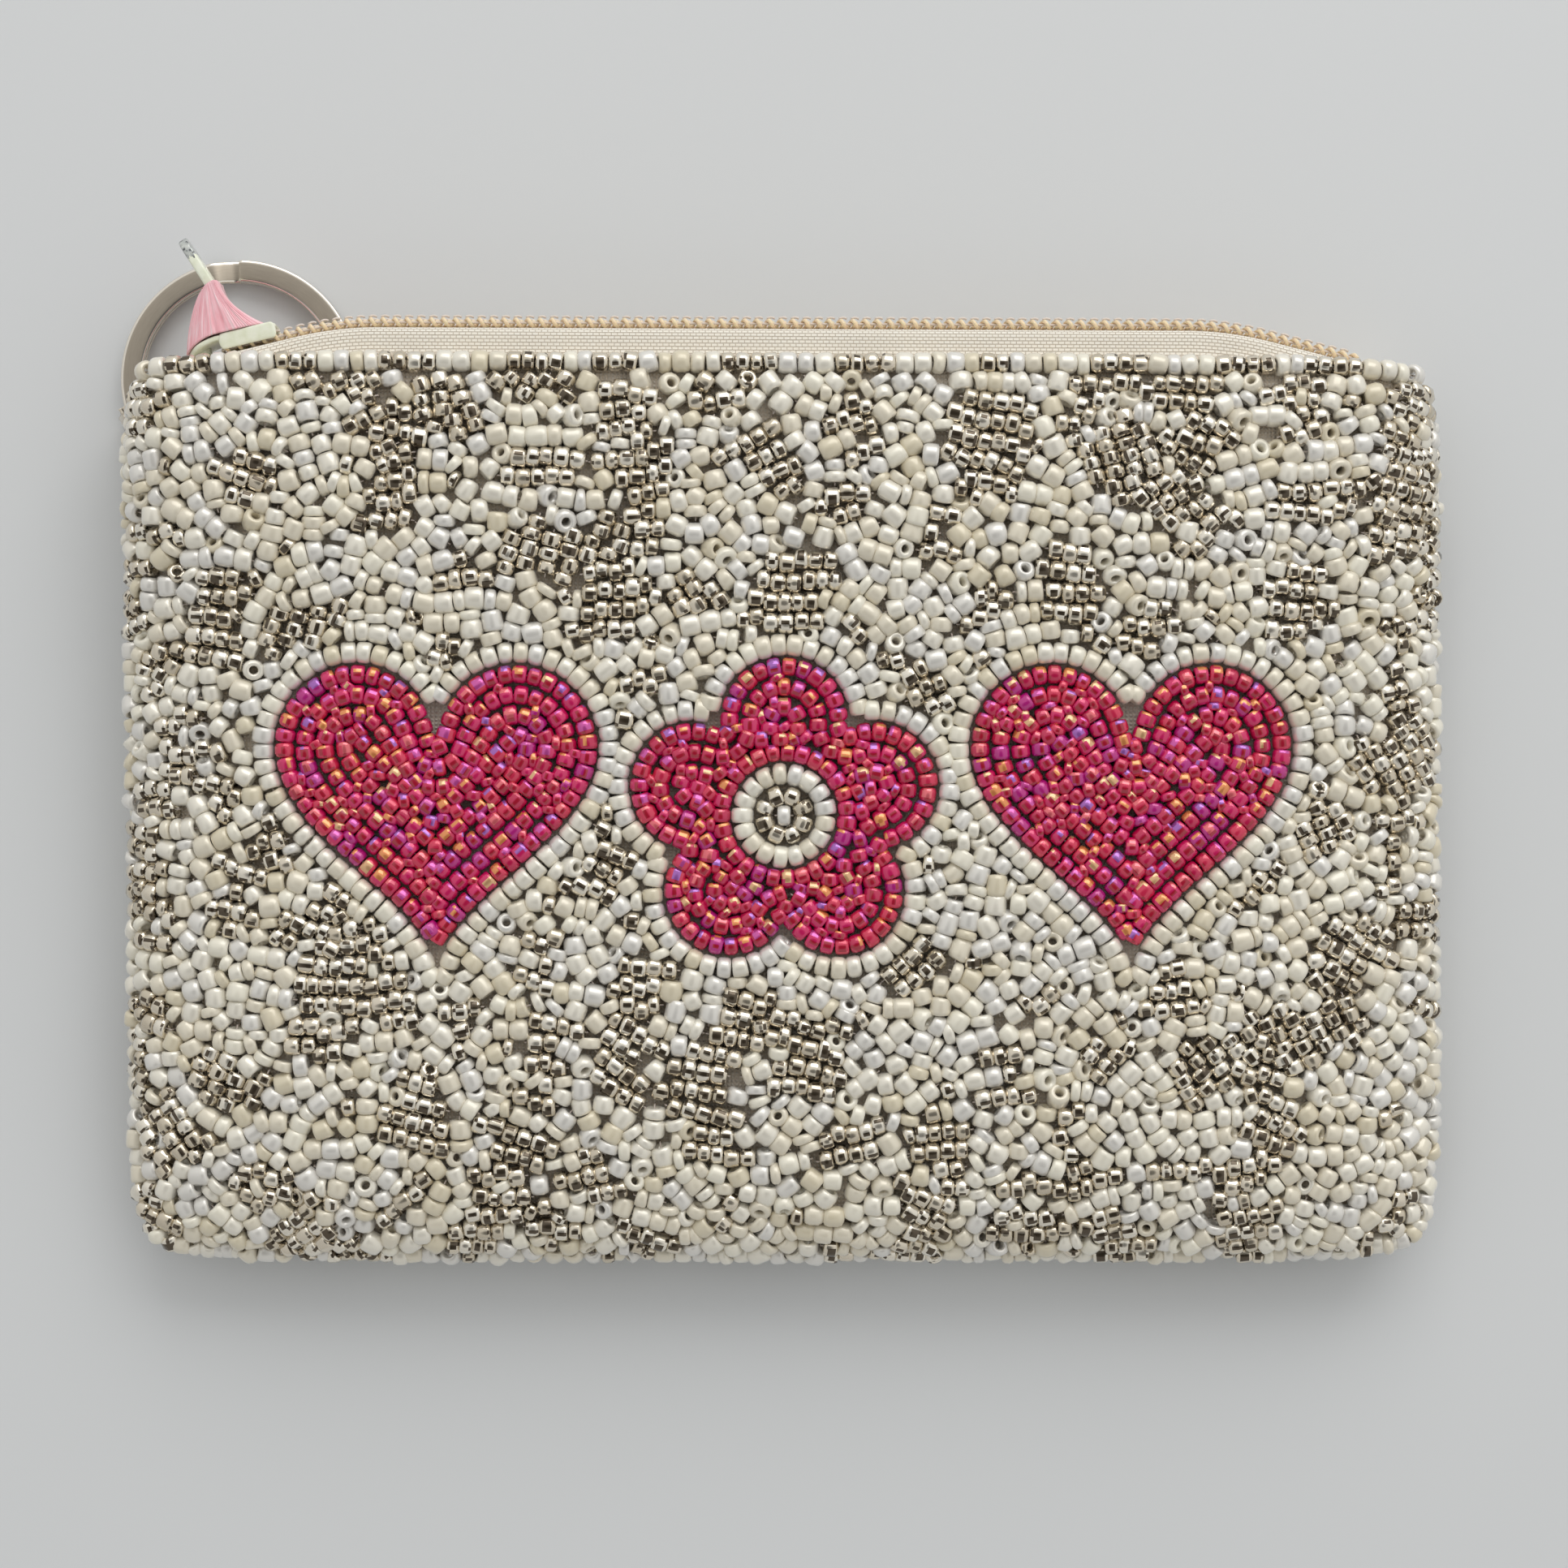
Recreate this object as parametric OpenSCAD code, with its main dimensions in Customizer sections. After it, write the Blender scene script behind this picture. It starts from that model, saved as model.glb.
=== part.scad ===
// Beaded coin purse, lying on its back.
// +X runs along the zip, +Y from the bottom seam to the zip, +Z out of the front panel.
// The origin is at the centre of the body, on the surface that the purse lies on.

/* [Body] */
// Width across the side seams
body_w = 137; // [134:0.5:140]
// Height from the bottom seam to the mouth
body_h = 94; // [92:0.5:96]
// Height of the seam plane at the bottom seam
seam_z = 6.2; // [6:0.1:6.6]
// Depth of the front panel in front of the seam plane
front_depth = 7.8; // [7:0.1:9]
// Depth of the back panel behind the seam plane, before the table flattens it
back_depth = 6.9; // [6.7:0.1:7.2]
// Half thickness of the purse at its mouth
mouth_half = 6.2; // [6:0.1:6.5]
// How far the split ring lifts the corner that lies on it
corner_lift = 3.5; // [3.3:0.1:4]

/* [Layers] */
// Height of the couched beads on their fabric
bead_layer = 2; // [1.8:0.1:2.2]
// Thickness of the backing fabric
fabric_layer = 0.5; // [0.4:0.05:0.6]
// Thickness of the zip tape
tape_layer = 0.4; // [0.3:0.05:0.45]
// Thickness of the lining
lining_layer = 0.3; // [0.2:0.05:0.4]

/* [Motifs] */
// Distance from the flower's centre to each heart's centre
motif_pitch = 35.4; // [34.5:0.1:36.5]
// Width of a heart
heart_w = 33; // [30:0.5:34]
// Height of a heart
heart_h = 31; // [28:0.5:32]
// Distance from the flower's centre to a petal's centre
petal_reach = 9.6; // [9:0.1:10]
// Radius of a petal
petal_r = 6.6; // [6.2:0.1:6.8]
// Radius of the flower's pearl centre
flower_eye_r = 5.4; // [5:0.1:5.6]

/* [Zip] */
// Height of the coil's centre line above the body's centre
coil_top_y = 50.4; // [50.2:0.1:51]
// Distance between one coil's turns
coil_pitch = 1.24; // [1.2:0.01:1.3]
// Height of the coil
coil_h = 1.2; // [1.1:0.05:1.25]
// Length of the slider
slider_l = 9.4; // [9:0.1:9.8]
// Width of the slider
slider_w = 5; // [4.8:0.1:5]
// Length of the pull tab from its pivot
pull_l = 10; // [9:0.5:12]
// Angle of the pull tab from +X
pull_angle = 122.7; // [110:0.1:130]

/* [Ring] */
// Outer diameter of the split ring
ring_d = 25; // [24.5:0.1:25.5]
// Width of the ring's flat stock
ring_stock = 2.3; // [2:0.1:2.4]
// Thickness of one turn of the stock
ring_turn = 0.95; // [0.8:0.05:1]
// Gap under the ring, which its tab lies in
ring_z = 0.45; // [0.42:0.01:0.5]

/* [Hidden] */
front = 1;
back = -1;
skin = 0.04;             // air between neighbouring layers
motif_gap = 0.04;        // air round an inlaid motif
seam_gap = 0.25;         // half the gap at the seam, which holds its stitches
corner_cut = 0.02;       // share by which the corners are rounded off
cells_x = 24;
cells_y = 16;
fabric_in = bead_layer + skin;
tape_in = fabric_in + fabric_layer + skin;
lining_in = tape_in + tape_layer + skin;
inside = lining_in + lining_layer;
fabric_top = body_h / 2 - 0.1;
lining_top = body_h / 2 - 2.7;
motif_y = -0.3;

ring_centre = [-57.5, 45.7];
ring_r = ring_d / 2 - ring_stock / 2;
rest_gap = 0.1;          // air between the ring and the back that lies on it
rest_reach = ring_d / 2 + 8;
rest_fade = 3;
tab_bearing = 210;       // where round the ring its tab sits
tab_w = 5;
tab_thick = 0.35;
tab_gap = 0.05;
tab_curve_room = 0.35;   // extra width in the tab's fold for the ring's curve
tab_top = 7.2;           // where the tab ends, inside the back's beads
split_bearing = 90;      // where the upper turn's cut end is
split_gap = 12;

lift_end = 62;           // where along the zip the seam plane comes down again
lift_slope = corner_lift / (lift_end - ring_centre[0]);
zip_roll = atan(lift_slope);
bow_start = 41.5;        // where the zip starts to bend down to its ends
bow_end = 50;
bow = 0.0146;
end_slope = 2 * bow * (bow_end - bow_start);
slider_x = -56.5;
slider_tilt = atan(end_slope);
coil_half = 1.9;
coil_spine = 0.95;       // from here outwards the teeth are joined
tooth_reach = 0.85;      // how far a tooth passes the centre line
plate = 0.75;            // thickness of the slider's plates
channel_top = 0.75;
channel_low = -1.15;
slot_top = -0.45;
pivot = [0.6, 2.65];     // the pull's pivot over the slider's centre
pin_r = 0.5;
pin_clearance = 0.06;
bridge_half = 0.8;
pull_w = 4.6;
pull_thick = 1.2;
satin_reach = 4;         // how far the satin climbs the pull

// ---- the body's surface ----
function smooth(t) = let (c = min(1, max(0, t))) c * c * (3 - 2 * c);
function fall(u, power) = sqrt(max(0, 1 - pow(abs(u), power)));
function side_power(t) = 6 + 14 * smooth((t - 0.4) / 0.6);
function lift(x, y) = lift_slope * max(0, lift_end - x) * pow(max(0, y / body_h + 0.5), 2.2);
function depth_of(side) = side == front ? front_depth : back_depth;

// A point of the surface that lies inset within the outer one.
// s runs from side to side and t from the bottom seam to the layer's top edge, both from -1 to 1.
function panel_point(s, t, inset, top, side) =
    let (
        depth = depth_of(side) - inset,
        mouth_v = pow(1 - pow((mouth_half - inset) / depth, 2), 1 / 6),
        low = inset - body_h / 2,
        x = (body_w / 2 - inset) * s * (1 - corner_cut * pow(abs(t), 10)),
        y = (low + (top - low) * (t + 1) / 2) * (1 - corner_cut * pow(abs(s), 10)),
        v = -1 + (mouth_v + 1) * (t + 1) / 2,
        h = depth * fall(s, side_power(t)) * fall(v, 6)
    )
    [x, y, seam_z + lift(x, y) + side * (seam_gap + h)];

// Stations that crowd towards both ends, where the surface is steepest.
function station(i, cells) = sin(90 * (2 * i / cells - 1));

// A cell's two triangles. A rising cell is split from a to c and any other from b to d.
function cell(a, b, c, d, rising) = rising ? [[a, b, c], [a, c, d]] : [[a, b, d], [b, c, d]];

// Faces of a closed sheet whose outer grid comes first and whose inner grid follows.
// In a quartered sheet each quarter's cells are split towards its own corner, so that no corner has a
// flat triangle. In any other all cells are rising.
function sheet_faces(nx, ny, quartered) =
    let (
        o = function(i, j) i * (ny + 1) + j,
        n = function(i, j) (nx + 1) * (ny + 1) + i * (ny + 1) + j,
        rising = function(i, j) !quartered || (i < nx / 2) == (j < ny / 2)
    )
    concat(
        [for (i = [0:nx - 1], j = [0:ny - 1]) each concat(
            cell(o(i, j), o(i, j + 1), o(i + 1, j + 1), o(i + 1, j), rising(i, j)),
            turned(cell(n(i, j), n(i, j + 1), n(i + 1, j + 1), n(i + 1, j), rising(i, j))))],
        [for (i = [0:nx - 1]) each [
            [o(i, 0), o(i + 1, 0), n(i + 1, 0)],
            [o(i, 0), n(i + 1, 0), n(i, 0)],
            [o(i + 1, ny), o(i, ny), n(i, ny)],
            [o(i + 1, ny), n(i, ny), n(i + 1, ny)]]],
        [for (j = [0:ny - 1]) each [
            [o(0, j + 1), o(0, j), n(0, j)],
            [o(0, j + 1), n(0, j), n(0, j + 1)],
            [o(nx, j), o(nx, j + 1), n(nx, j + 1)],
            [o(nx, j), n(nx, j + 1), n(nx, j)]]]
    );

function turned(faces) = [for (f = faces) [f[2], f[1], f[0]]];

module sheet(outer, inner, nx, ny, side, quartered) {
    faces = sheet_faces(nx, ny, quartered);
    polyhedron(concat(outer, inner), side == front ? faces : turned(faces));
}

// Height of what the back lies on: the table, and the split ring on it.
function rest_z(x, y) =
    (ring_z + 2 * ring_turn + rest_gap) * smooth((rest_reach - norm([x, y] - ring_centre)) / rest_fade);

function at_rest(p) = [p[0], p[1], max(rest_z(p[0], p[1]), p[2])];

// One layer of a panel, from inset a to inset b. It is pressed flat where it would reach below its rest.
module layer(a, b, top, side) {
    grid = function(inset) [for (i = [0:cells_x], j = [0:cells_y])
        at_rest(panel_point(station(i, cells_x), station(j, cells_y), inset, top, side))];
    sheet(grid(a), grid(b), cells_x, cells_y, side, true);
}

module rod(a, b, r) {
    v = b - a;
    translate(a)
        rotate([0, acos(v[2] / norm(v)), atan2(v[1], v[0])])
            cylinder(h = norm(v), r = r, $fn = 16);
}

// ---- motifs ----
module heart(grow) {
    points = [for (a = [1.5:7.5:354])
        [16 * pow(sin(a), 3), 2.5 + 13 * cos(a) - 5 * cos(2 * a) - 2 * cos(3 * a) - cos(4 * a)]];
    scale([(heart_w + grow) / 32, (heart_h + grow) / 29]) polygon(points);
}

// Distance from the flower's centre to the outline of its petals, in direction a.
function petal_edge(a, r) =
    let (
        off = abs((a - 90 + 3600) % 72 - 36),
        turn = 36 - off
    )
    petal_reach * cos(turn) + sqrt(max(0, pow(r, 2) - pow(petal_reach * sin(turn), 2)));

function around(radius) = [for (a = [1.5:5:356.5]) radius(a) * [cos(a), sin(a)]];

module flower(grow) {
    difference() {
        polygon(around(function(a) petal_edge(a, petal_r + grow / 2)));
        polygon(around(function(a) flower_eye_r - grow / 2));
    }
}

// Fills a motif's outline right through the front panel.
module motif_prism(x) {
    translate([x, motif_y, seam_z]) linear_extrude(20) children();
}

module front_bead_layer() {
    layer(0, bead_layer, body_h / 2, front);
}

// ---- panels ----
module front_beadwork() {
    color("ivory") difference() {
        front_bead_layer();
        for (k = [-1, 1])
            motif_prism(k * motif_pitch) heart(2 * motif_gap);
        motif_prism(0) flower(2 * motif_gap);
    }
}

module heart_beadwork(x) {
    color("mediumvioletred") intersection() {
        front_bead_layer();
        motif_prism(x) heart(0);
    }
}

module left_heart_beadwork() {
    heart_beadwork(-motif_pitch);
}

module right_heart_beadwork() {
    heart_beadwork(motif_pitch);
}

module flower_beadwork() {
    color("mediumvioletred") intersection() {
        front_bead_layer();
        motif_prism(0) flower(0);
    }
}

module back_beadwork() {
    color("ivory") layer(0, bead_layer, body_h / 2, back);
}

module front_fabric() {
    color("tan") layer(fabric_in, fabric_in + fabric_layer, fabric_top, front);
}

module back_fabric() {
    color("tan") layer(fabric_in, fabric_in + fabric_layer, fabric_top, back);
}

module front_lining() {
    color("pink") layer(lining_in, inside, lining_top, front);
}

module back_lining() {
    color("pink") layer(lining_in, inside, lining_top, back);
}

// ---- zip ----
// Height of the coil's centre line at x.
function coil_y(x) =
    let (a = abs(x))
    coil_top_y - bow * pow(max(0, min(a, bow_end) - bow_start), 2) - end_slope * max(0, a - bow_end);

// The seam plane along the zip.
function zip_z(x) = seam_z + lift_slope * (lift_end - x);

// The zip's parts are made with their centre plane at z = 0 and rolled into the lifted seam plane.
module zip_place() {
    translate([0, 0, zip_z(0)]) rotate([0, zip_roll, 0]) children();
}

first_station = 2;
tape_cells = cells_x - 2 * first_station;
tape_edge = 0.25;        // from the centre plane to the tape's edge
tape_flat = 2;           // where the tape turns down from the coil
tape_room = 0.15;        // air between the tape and the slider or the beads
post_edge = 1.25;        // the tape's edge where the slider's post parts the tapes
post_x = -57.6;
coil_skin = 0.02;        // air under the coil

// Points across the tape from the coil to its hidden edge. layer is 0 on the outer face and 1 on the inner.
function tape_section(i, layer, side) =
    let (
        s = station(i, cells_x),
        inset = tape_in + layer * tape_layer,
        rim = panel_point(s, 1, inset, body_h / 2, side),
        x = panel_point(s, 1, tape_in, body_h / 2, side)[0],
        y = coil_y(x) - coil_h / 2 - coil_skin - layer * tape_layer,
        z = zip_z(x),
        edge = x < post_x ? post_edge : tape_edge,
        bend = max(slider_w / 2 + tape_room, abs(rim[2] - z) - tape_room)
    )
    concat(
        [[x, y, z + side * edge], [x, y, z + side * tape_flat], [x, y - 0.2, z + side * bend]],
        [for (j = [0:3])
            panel_point(s, station(cells_y - j, cells_y), inset, body_h / 2, side)]
    );

module tape(side) {
    grid = function(layer) [for (i = [first_station:cells_x - first_station])
        each tape_section(i, layer, side)];
    sheet(grid(0), grid(1), tape_cells, 6, back * side, false);
}

module front_zip_tape() {
    color("linen") tape(front);
}

module back_zip_tape() {
    color("linen") tape(back);
}

coil_start = -58.2;
coil_stop = 60;
spine_step = 3;

// A row of teeth on a spine. The two rows' teeth lie between each other.
module coil(side) {
    shift = side == front ? 0 : coil_pitch / 2;
    spine_x = [for (x = [coil_start:spine_step:coil_stop]) x];
    zip_place() {
        translate([0, 0, side == front ? coil_spine : -coil_half])
            linear_extrude(coil_half - coil_spine)
                polygon(concat(
                    [for (x = spine_x) [x, coil_y(x) + coil_h / 2]],
                    [for (k = [len(spine_x) - 1:-1:0])
                        [spine_x[k], coil_y(spine_x[k]) - coil_h / 2]]));
        for (x = [coil_start + 0.1 + shift:coil_pitch:coil_stop - 2])
            translate([x, coil_y(x) - coil_h / 2 + 0.1, side == front ? -tooth_reach : -coil_spine - 0.2])
                cube([coil_pitch / 2 - 0.1, coil_h - 0.2, tooth_reach + coil_spine + 0.2]);
    }
}

module front_zip_coil() {
    color("wheat") coil(front);
}

module back_zip_coil() {
    color("wheat") coil(back);
}

// ---- stitches ----
stitch_r = 0.15;
seam_stitch_r = 0.18;
stitch_s = 0.022;        // half a seam stitch as a share of the panel's half width
side_stitch_t = 0.03;    // the same up the sides
seam_step = 0.06;
side_step = 0.09;
zip_stitch_step = 0.042;
zip_stitch_t = 0.86;     // how far up the lining the zip's stitches run

module zip_stitches(side) {
    at = function(s) panel_point(s, zip_stitch_t, inside + 2 * stitch_r, lining_top, side);
    for (k = [-18:18])
        rod(at(zip_stitch_step * k - stitch_s / 2), at(zip_stitch_step * k + stitch_s / 2), stitch_r);
}

module front_zip_stitching() {
    color("white") zip_stitches(front);
}

module back_zip_stitching() {
    color("white") zip_stitches(back);
}

// Stitches round the three closed sides, in the gap between the panels' edges.
function seam_point(s, t) =
    let (p = panel_point(s, t, bead_layer / 2, body_h / 2 - 1, front))
    [p[0], p[1], seam_z + lift(p[0], p[1])];

module seam_stitching() {
    color("white") {
        for (k = [-14:14])
            rod(seam_point(seam_step * k - stitch_s, -1), seam_point(seam_step * k + stitch_s, -1),
                seam_stitch_r);
        for (side = [-1, 1], k = [-9:9])
            rod(seam_point(side, side_step * k - side_stitch_t),
                seam_point(side, side_step * k + side_stitch_t), seam_stitch_r);
    }
}

// ---- slider and pull ----
// Children are drawn round the coil's centre line at the slider.
module slider_place() {
    zip_place()
        translate([slider_x, coil_y(slider_x), 0]) rotate(slider_tilt) children();
}

module slider_plate(low) {
    nose = -slider_l / 2;
    rear = slider_l / 2;
    w = slider_w / 2;
    translate([0, low, 0]) rotate([-90, 0, 0]) linear_extrude(plate) polygon([
        [nose, -0.5 * w], [nose + 0.5, -0.85 * w], [nose + 1.4, -w], [0, -w], [rear - 0.8, -0.86 * w],
        [rear, -0.6 * w], [rear, 0.6 * w], [rear - 0.8, 0.86 * w], [0, w], [nose + 1.4, w],
        [nose + 0.5, 0.85 * w], [nose, 0.5 * w]]);
}

module slider_body() {
    w = slider_w / 2;
    color("beige") slider_place() {
        slider_plate(channel_top);
        slider_plate(channel_low - plate);
        for (side = [-1, 1])
            translate([1.4 - slider_l / 2, slot_top, side * (w - 0.2) - 0.2])
                cube([slider_l / 2 - 1.4, channel_top - slot_top + 0.1, 0.4]);
        translate([-3.3, channel_low - 0.1, 0]) rotate([-90, 0, 0])
            cylinder(h = channel_top - channel_low + 0.2, r = 0.9, $fn = 32);
        difference() {
            translate([pivot[0], 0, -bridge_half]) linear_extrude(2 * bridge_half) polygon([
                [-2.2, channel_top + plate - 0.1], [-1.9, 2.3], [-1.1, 3.3], [-0.4, 3.55], [0.4, 3.55],
                [1.1, 3.3], [1.9, 2.3], [2.2, channel_top + plate - 0.1]]);
            translate([pivot[0], pivot[1], -bridge_half - 1])
                cylinder(h = 2 * bridge_half + 2, r = pin_r + pin_clearance, $fn = 48);
        }
    }
}

// Children are drawn along the pull, from its pivot along +X.
module pull_place() {
    slider_place()
        translate([pivot[0], pivot[1], 0]) rotate(pull_angle - slider_tilt) children();
}

module pull_tab() {
    eye = 2.2;
    arm_in = bridge_half + 0.15;
    arm_out = arm_in + 0.6;
    color("beige") pull_place() {
        cylinder(h = 2 * arm_out, r = pin_r, center = true, $fn = 48);
        for (side = [-1, 1])
            translate([0, 0, side * (arm_in + arm_out) / 2]) {
                cylinder(h = arm_out - arm_in, r = 0.8, center = true, $fn = 32);
                translate([(eye + 0.6) / 2, 0, 0]) cube([eye + 0.6, 1, arm_out - arm_in], center = true);
            }
        rotate([-90, 0, 0]) translate([0, 0, -pull_thick / 2]) linear_extrude(pull_thick) polygon([
            [eye, -arm_out], [eye + 1, -pull_w / 2], [pull_l - 1.6, -pull_w / 2], [pull_l - 0.4, -1.4],
            [pull_l, -0.6], [pull_l, 0.6], [pull_l - 0.4, 1.4], [pull_l - 1.6, pull_w / 2],
            [eye + 1, pull_w / 2], [eye, arm_out]]);
    }
}

// Satin gathered from the slider's top plate up round the pull.
module satin_tent(wall, over) {
    base = channel_top + plate + 0.05;
    hull() {
        slider_place() translate([-4.5 + wall, base - over, -2.75 + wall])
            cube([8 - 2 * wall, 0.2, 5.5 - 2 * wall]);
        pull_place() translate([satin_reach - 0.2 + over, -1.35 + wall, -2.9 + wall])
            cube([0.2, 2.7 - 2 * wall, 5.8 - 2 * wall]);
    }
}

module satin_wrap() {
    color("pink") difference() {
        satin_tent(0, 0);
        satin_tent(0.4, 0.3);
    }
}

// ---- ring ----
module ring_place() {
    translate([ring_centre[0], ring_centre[1], 0]) children();
}

// Two turns of flat stock. The upper turn stops short of a full circle, which leaves the split.
module split_ring() {
    color("silver") ring_place() difference() {
        translate([0, 0, ring_z]) cylinder(h = 2 * ring_turn, r = ring_d / 2, $fn = 96);
        translate([0, 0, ring_z - 1])
            cylinder(h = 2 * ring_turn + 2, r = ring_d / 2 - ring_stock, $fn = 96);
        rotate(split_bearing) translate([0, 0, ring_z + ring_turn]) linear_extrude(ring_turn + 1)
            polygon([[0, 0], ring_d * [1, 0], ring_d * [cos(split_gap), sin(split_gap)]]);
    }
}

// A folded ribbon that hangs from the side seam and holds the ring in its fold.
module ring_tab() {
    hole_r = ring_stock / 2 + tab_gap + tab_curve_room;
    out_r = hole_r + tab_thick;
    top = tab_top - ring_z;
    color("pink") ring_place() rotate(tab_bearing) translate([ring_r, tab_w / 2, ring_z])
        rotate([90, 0, 0]) linear_extrude(tab_w) difference() {
            polygon([[-out_r, -tab_thick - tab_gap], [out_r, -tab_thick - tab_gap], [out_r, 2.1],
                [0.75, 4.2], [0.75, top], [-0.05, top], [-0.05, 4.2], [-out_r, 2.1]]);
            polygon([[-hole_r, -tab_gap], [hole_r, -tab_gap], [hole_r, 2 * ring_turn + tab_gap],
                [0.35, 3.6], [-hole_r, 2 * ring_turn + tab_gap]]);
        }
}

back_beadwork();
back_fabric();
back_lining();
back_zip_tape();
back_zip_coil();
back_zip_stitching();
seam_stitching();
ring_tab();
front_beadwork();
left_heart_beadwork();
flower_beadwork();
right_heart_beadwork();
front_fabric();
front_lining();
front_zip_tape();
front_zip_coil();
front_zip_stitching();
slider_body();
satin_wrap();
pull_tab();
split_ring();
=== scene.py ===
"""The looks of a beaded coin purse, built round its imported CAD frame.

Sizes are in millimetres and are turned into metres where a mesh is made. +X runs along the zip, +Y from the
bottom seam to the zip and +Z out of the front. The body's surface has the same formulas as in the CAD model.
"""

import math

import bmesh
import bpy
import numpy as np
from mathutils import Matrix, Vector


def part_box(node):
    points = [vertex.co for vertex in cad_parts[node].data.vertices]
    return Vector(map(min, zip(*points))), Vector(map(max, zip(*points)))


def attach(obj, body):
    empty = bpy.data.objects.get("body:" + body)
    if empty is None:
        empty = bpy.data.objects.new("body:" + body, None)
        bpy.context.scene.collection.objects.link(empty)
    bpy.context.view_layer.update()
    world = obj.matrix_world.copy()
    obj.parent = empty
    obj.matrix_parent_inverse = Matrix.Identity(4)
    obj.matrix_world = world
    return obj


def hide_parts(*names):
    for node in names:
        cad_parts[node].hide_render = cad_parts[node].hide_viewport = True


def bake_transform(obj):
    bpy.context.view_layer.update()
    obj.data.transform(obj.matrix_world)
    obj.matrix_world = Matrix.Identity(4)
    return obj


MM = 0.001
FRONT, BACK = 1, -1
PEARL, SILVER, PINK = 0, 1, 2

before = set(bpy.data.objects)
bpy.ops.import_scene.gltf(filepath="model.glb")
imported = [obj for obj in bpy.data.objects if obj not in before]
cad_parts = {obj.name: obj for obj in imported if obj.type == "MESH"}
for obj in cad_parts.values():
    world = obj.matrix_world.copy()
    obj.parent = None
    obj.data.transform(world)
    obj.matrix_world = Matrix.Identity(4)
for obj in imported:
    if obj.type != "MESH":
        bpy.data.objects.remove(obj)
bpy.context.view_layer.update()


def cad_box(node):
    """Lowest and highest corner of a CAD node, in millimetres."""
    return [np.array(corner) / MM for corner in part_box(node)]


# ---- the body's surface ----
front_low, front_high = cad_box("front_beadwork")
BODY_W, BODY_H = (front_high - front_low)[:2]
HALF_W, HALF_H = BODY_W / 2, BODY_H / 2
SEAM_Z = 6.2
SEAM_GAP = 0.25         # from the seam plane to each panel's edge
DEPTH = {FRONT: 7.8, BACK: 6.9}
MOUTH_HALF = 6.2        # half of the mouth's opening
CORNER_CUT = 0.02       # how far the corners draw in, as a share of the panel
LIFT_END = 62.0         # where the ring under the corner stops lifting the zip
LIFT_SLOPE = 3.5 / 119.5

ring_low, ring_high = cad_box("split_ring")
RING = ((ring_low + ring_high) / 2)[:2]
RING_OUT = (ring_high - ring_low)[0] / 2
RING_LOW, RING_TOP = ring_low[2], ring_high[2]
STOCK = 2.3
RING_MID = RING_OUT - STOCK / 2


def smooth(t):
    """A soft step from 0 to 1."""
    c = np.clip(t, 0, 1)
    return c * c * (3 - 2 * c)


def fall(u, power):
    """A rounded profile: 1 in the middle and 0 at both edges, flatter for a higher power."""
    return np.sqrt(np.maximum(0, 1 - np.abs(u) ** power))


def lift(x, y):
    """How far the ring under the corner raises the seam plane."""
    return LIFT_SLOPE * np.maximum(0, LIFT_END - x) * np.maximum(0, y / BODY_H + 0.5) ** 2.2


def rest_z(x, y):
    """Height of what the back lies on: the table, and the split ring on it."""
    return (RING_TOP + 0.1) * smooth((RING_OUT + 8 - np.hypot(x - RING[0], y - RING[1])) / 3)


def shell(side, s, t, inset, top=HALF_H, floor=0.0):
    """Points of the surface that lies inset within a panel's outer one. s and t run from -1 to 1."""
    s, t = np.broadcast_arrays(np.asarray(s, float), np.asarray(t, float))
    depth = DEPTH[side] - inset
    mouth_v = (1 - ((MOUTH_HALF - inset) / depth) ** 2) ** (1 / 6)
    low = inset - HALF_H
    x = (HALF_W - inset) * s * (1 - CORNER_CUT * np.abs(t) ** 10)
    y = (low + (top - low) * (t + 1) / 2) * (1 - CORNER_CUT * np.abs(s) ** 10)
    v = -1 + (mouth_v + 1) * (t + 1) / 2
    rise = depth * fall(s, 6 + 14 * smooth((t - 0.4) / 0.6)) * fall(v, 6)
    z = SEAM_Z + lift(x, y) + side * (SEAM_GAP + rise)
    return np.stack([x, y, np.maximum(z, floor + rest_z(x, y))], -1)


FABRIC_IN, FABRIC_TOP = 2.3, 46.9
TAPE_IN = 2.85
LINING_IN, LINING_TOP = 3.3, 44.3


# ---- where beads can lie ----
BEAD_IN = 1.12          # from the outer surface to a bead's centre
TOP_ROW_Y = HALF_H - 1.1
SEAM_CLEAR = 0.95       # from the seam to the nearest bead's centre
FLOOR_CLEAR = 1.1       # from the table to the nearest bead's centre
EDGE = math.pi / 2 - 0.02   # the widest angle at which a bead may lie
STEP = 1e-3             # the change of angle over which the surface's slopes are measured


def bead_surface(side, ab):
    """Where bead centres lie, by two angles that have no steep ends."""
    return shell(side, np.sin(ab[:, 0]), np.sin(ab[:, 1]), BEAD_IN, TOP_ROW_Y, FLOOR_CLEAR)


def lengths_along(path):
    """How far along a line of points each of them lies."""
    return np.concatenate([[0], np.cumsum(np.linalg.norm(np.diff(path, axis=0), axis=1))])


def unit(v):
    return v / np.maximum(np.linalg.norm(v, axis=-1, keepdims=True), 1e-9)


def dot(a, b):
    return (a * b).sum(-1)


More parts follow.
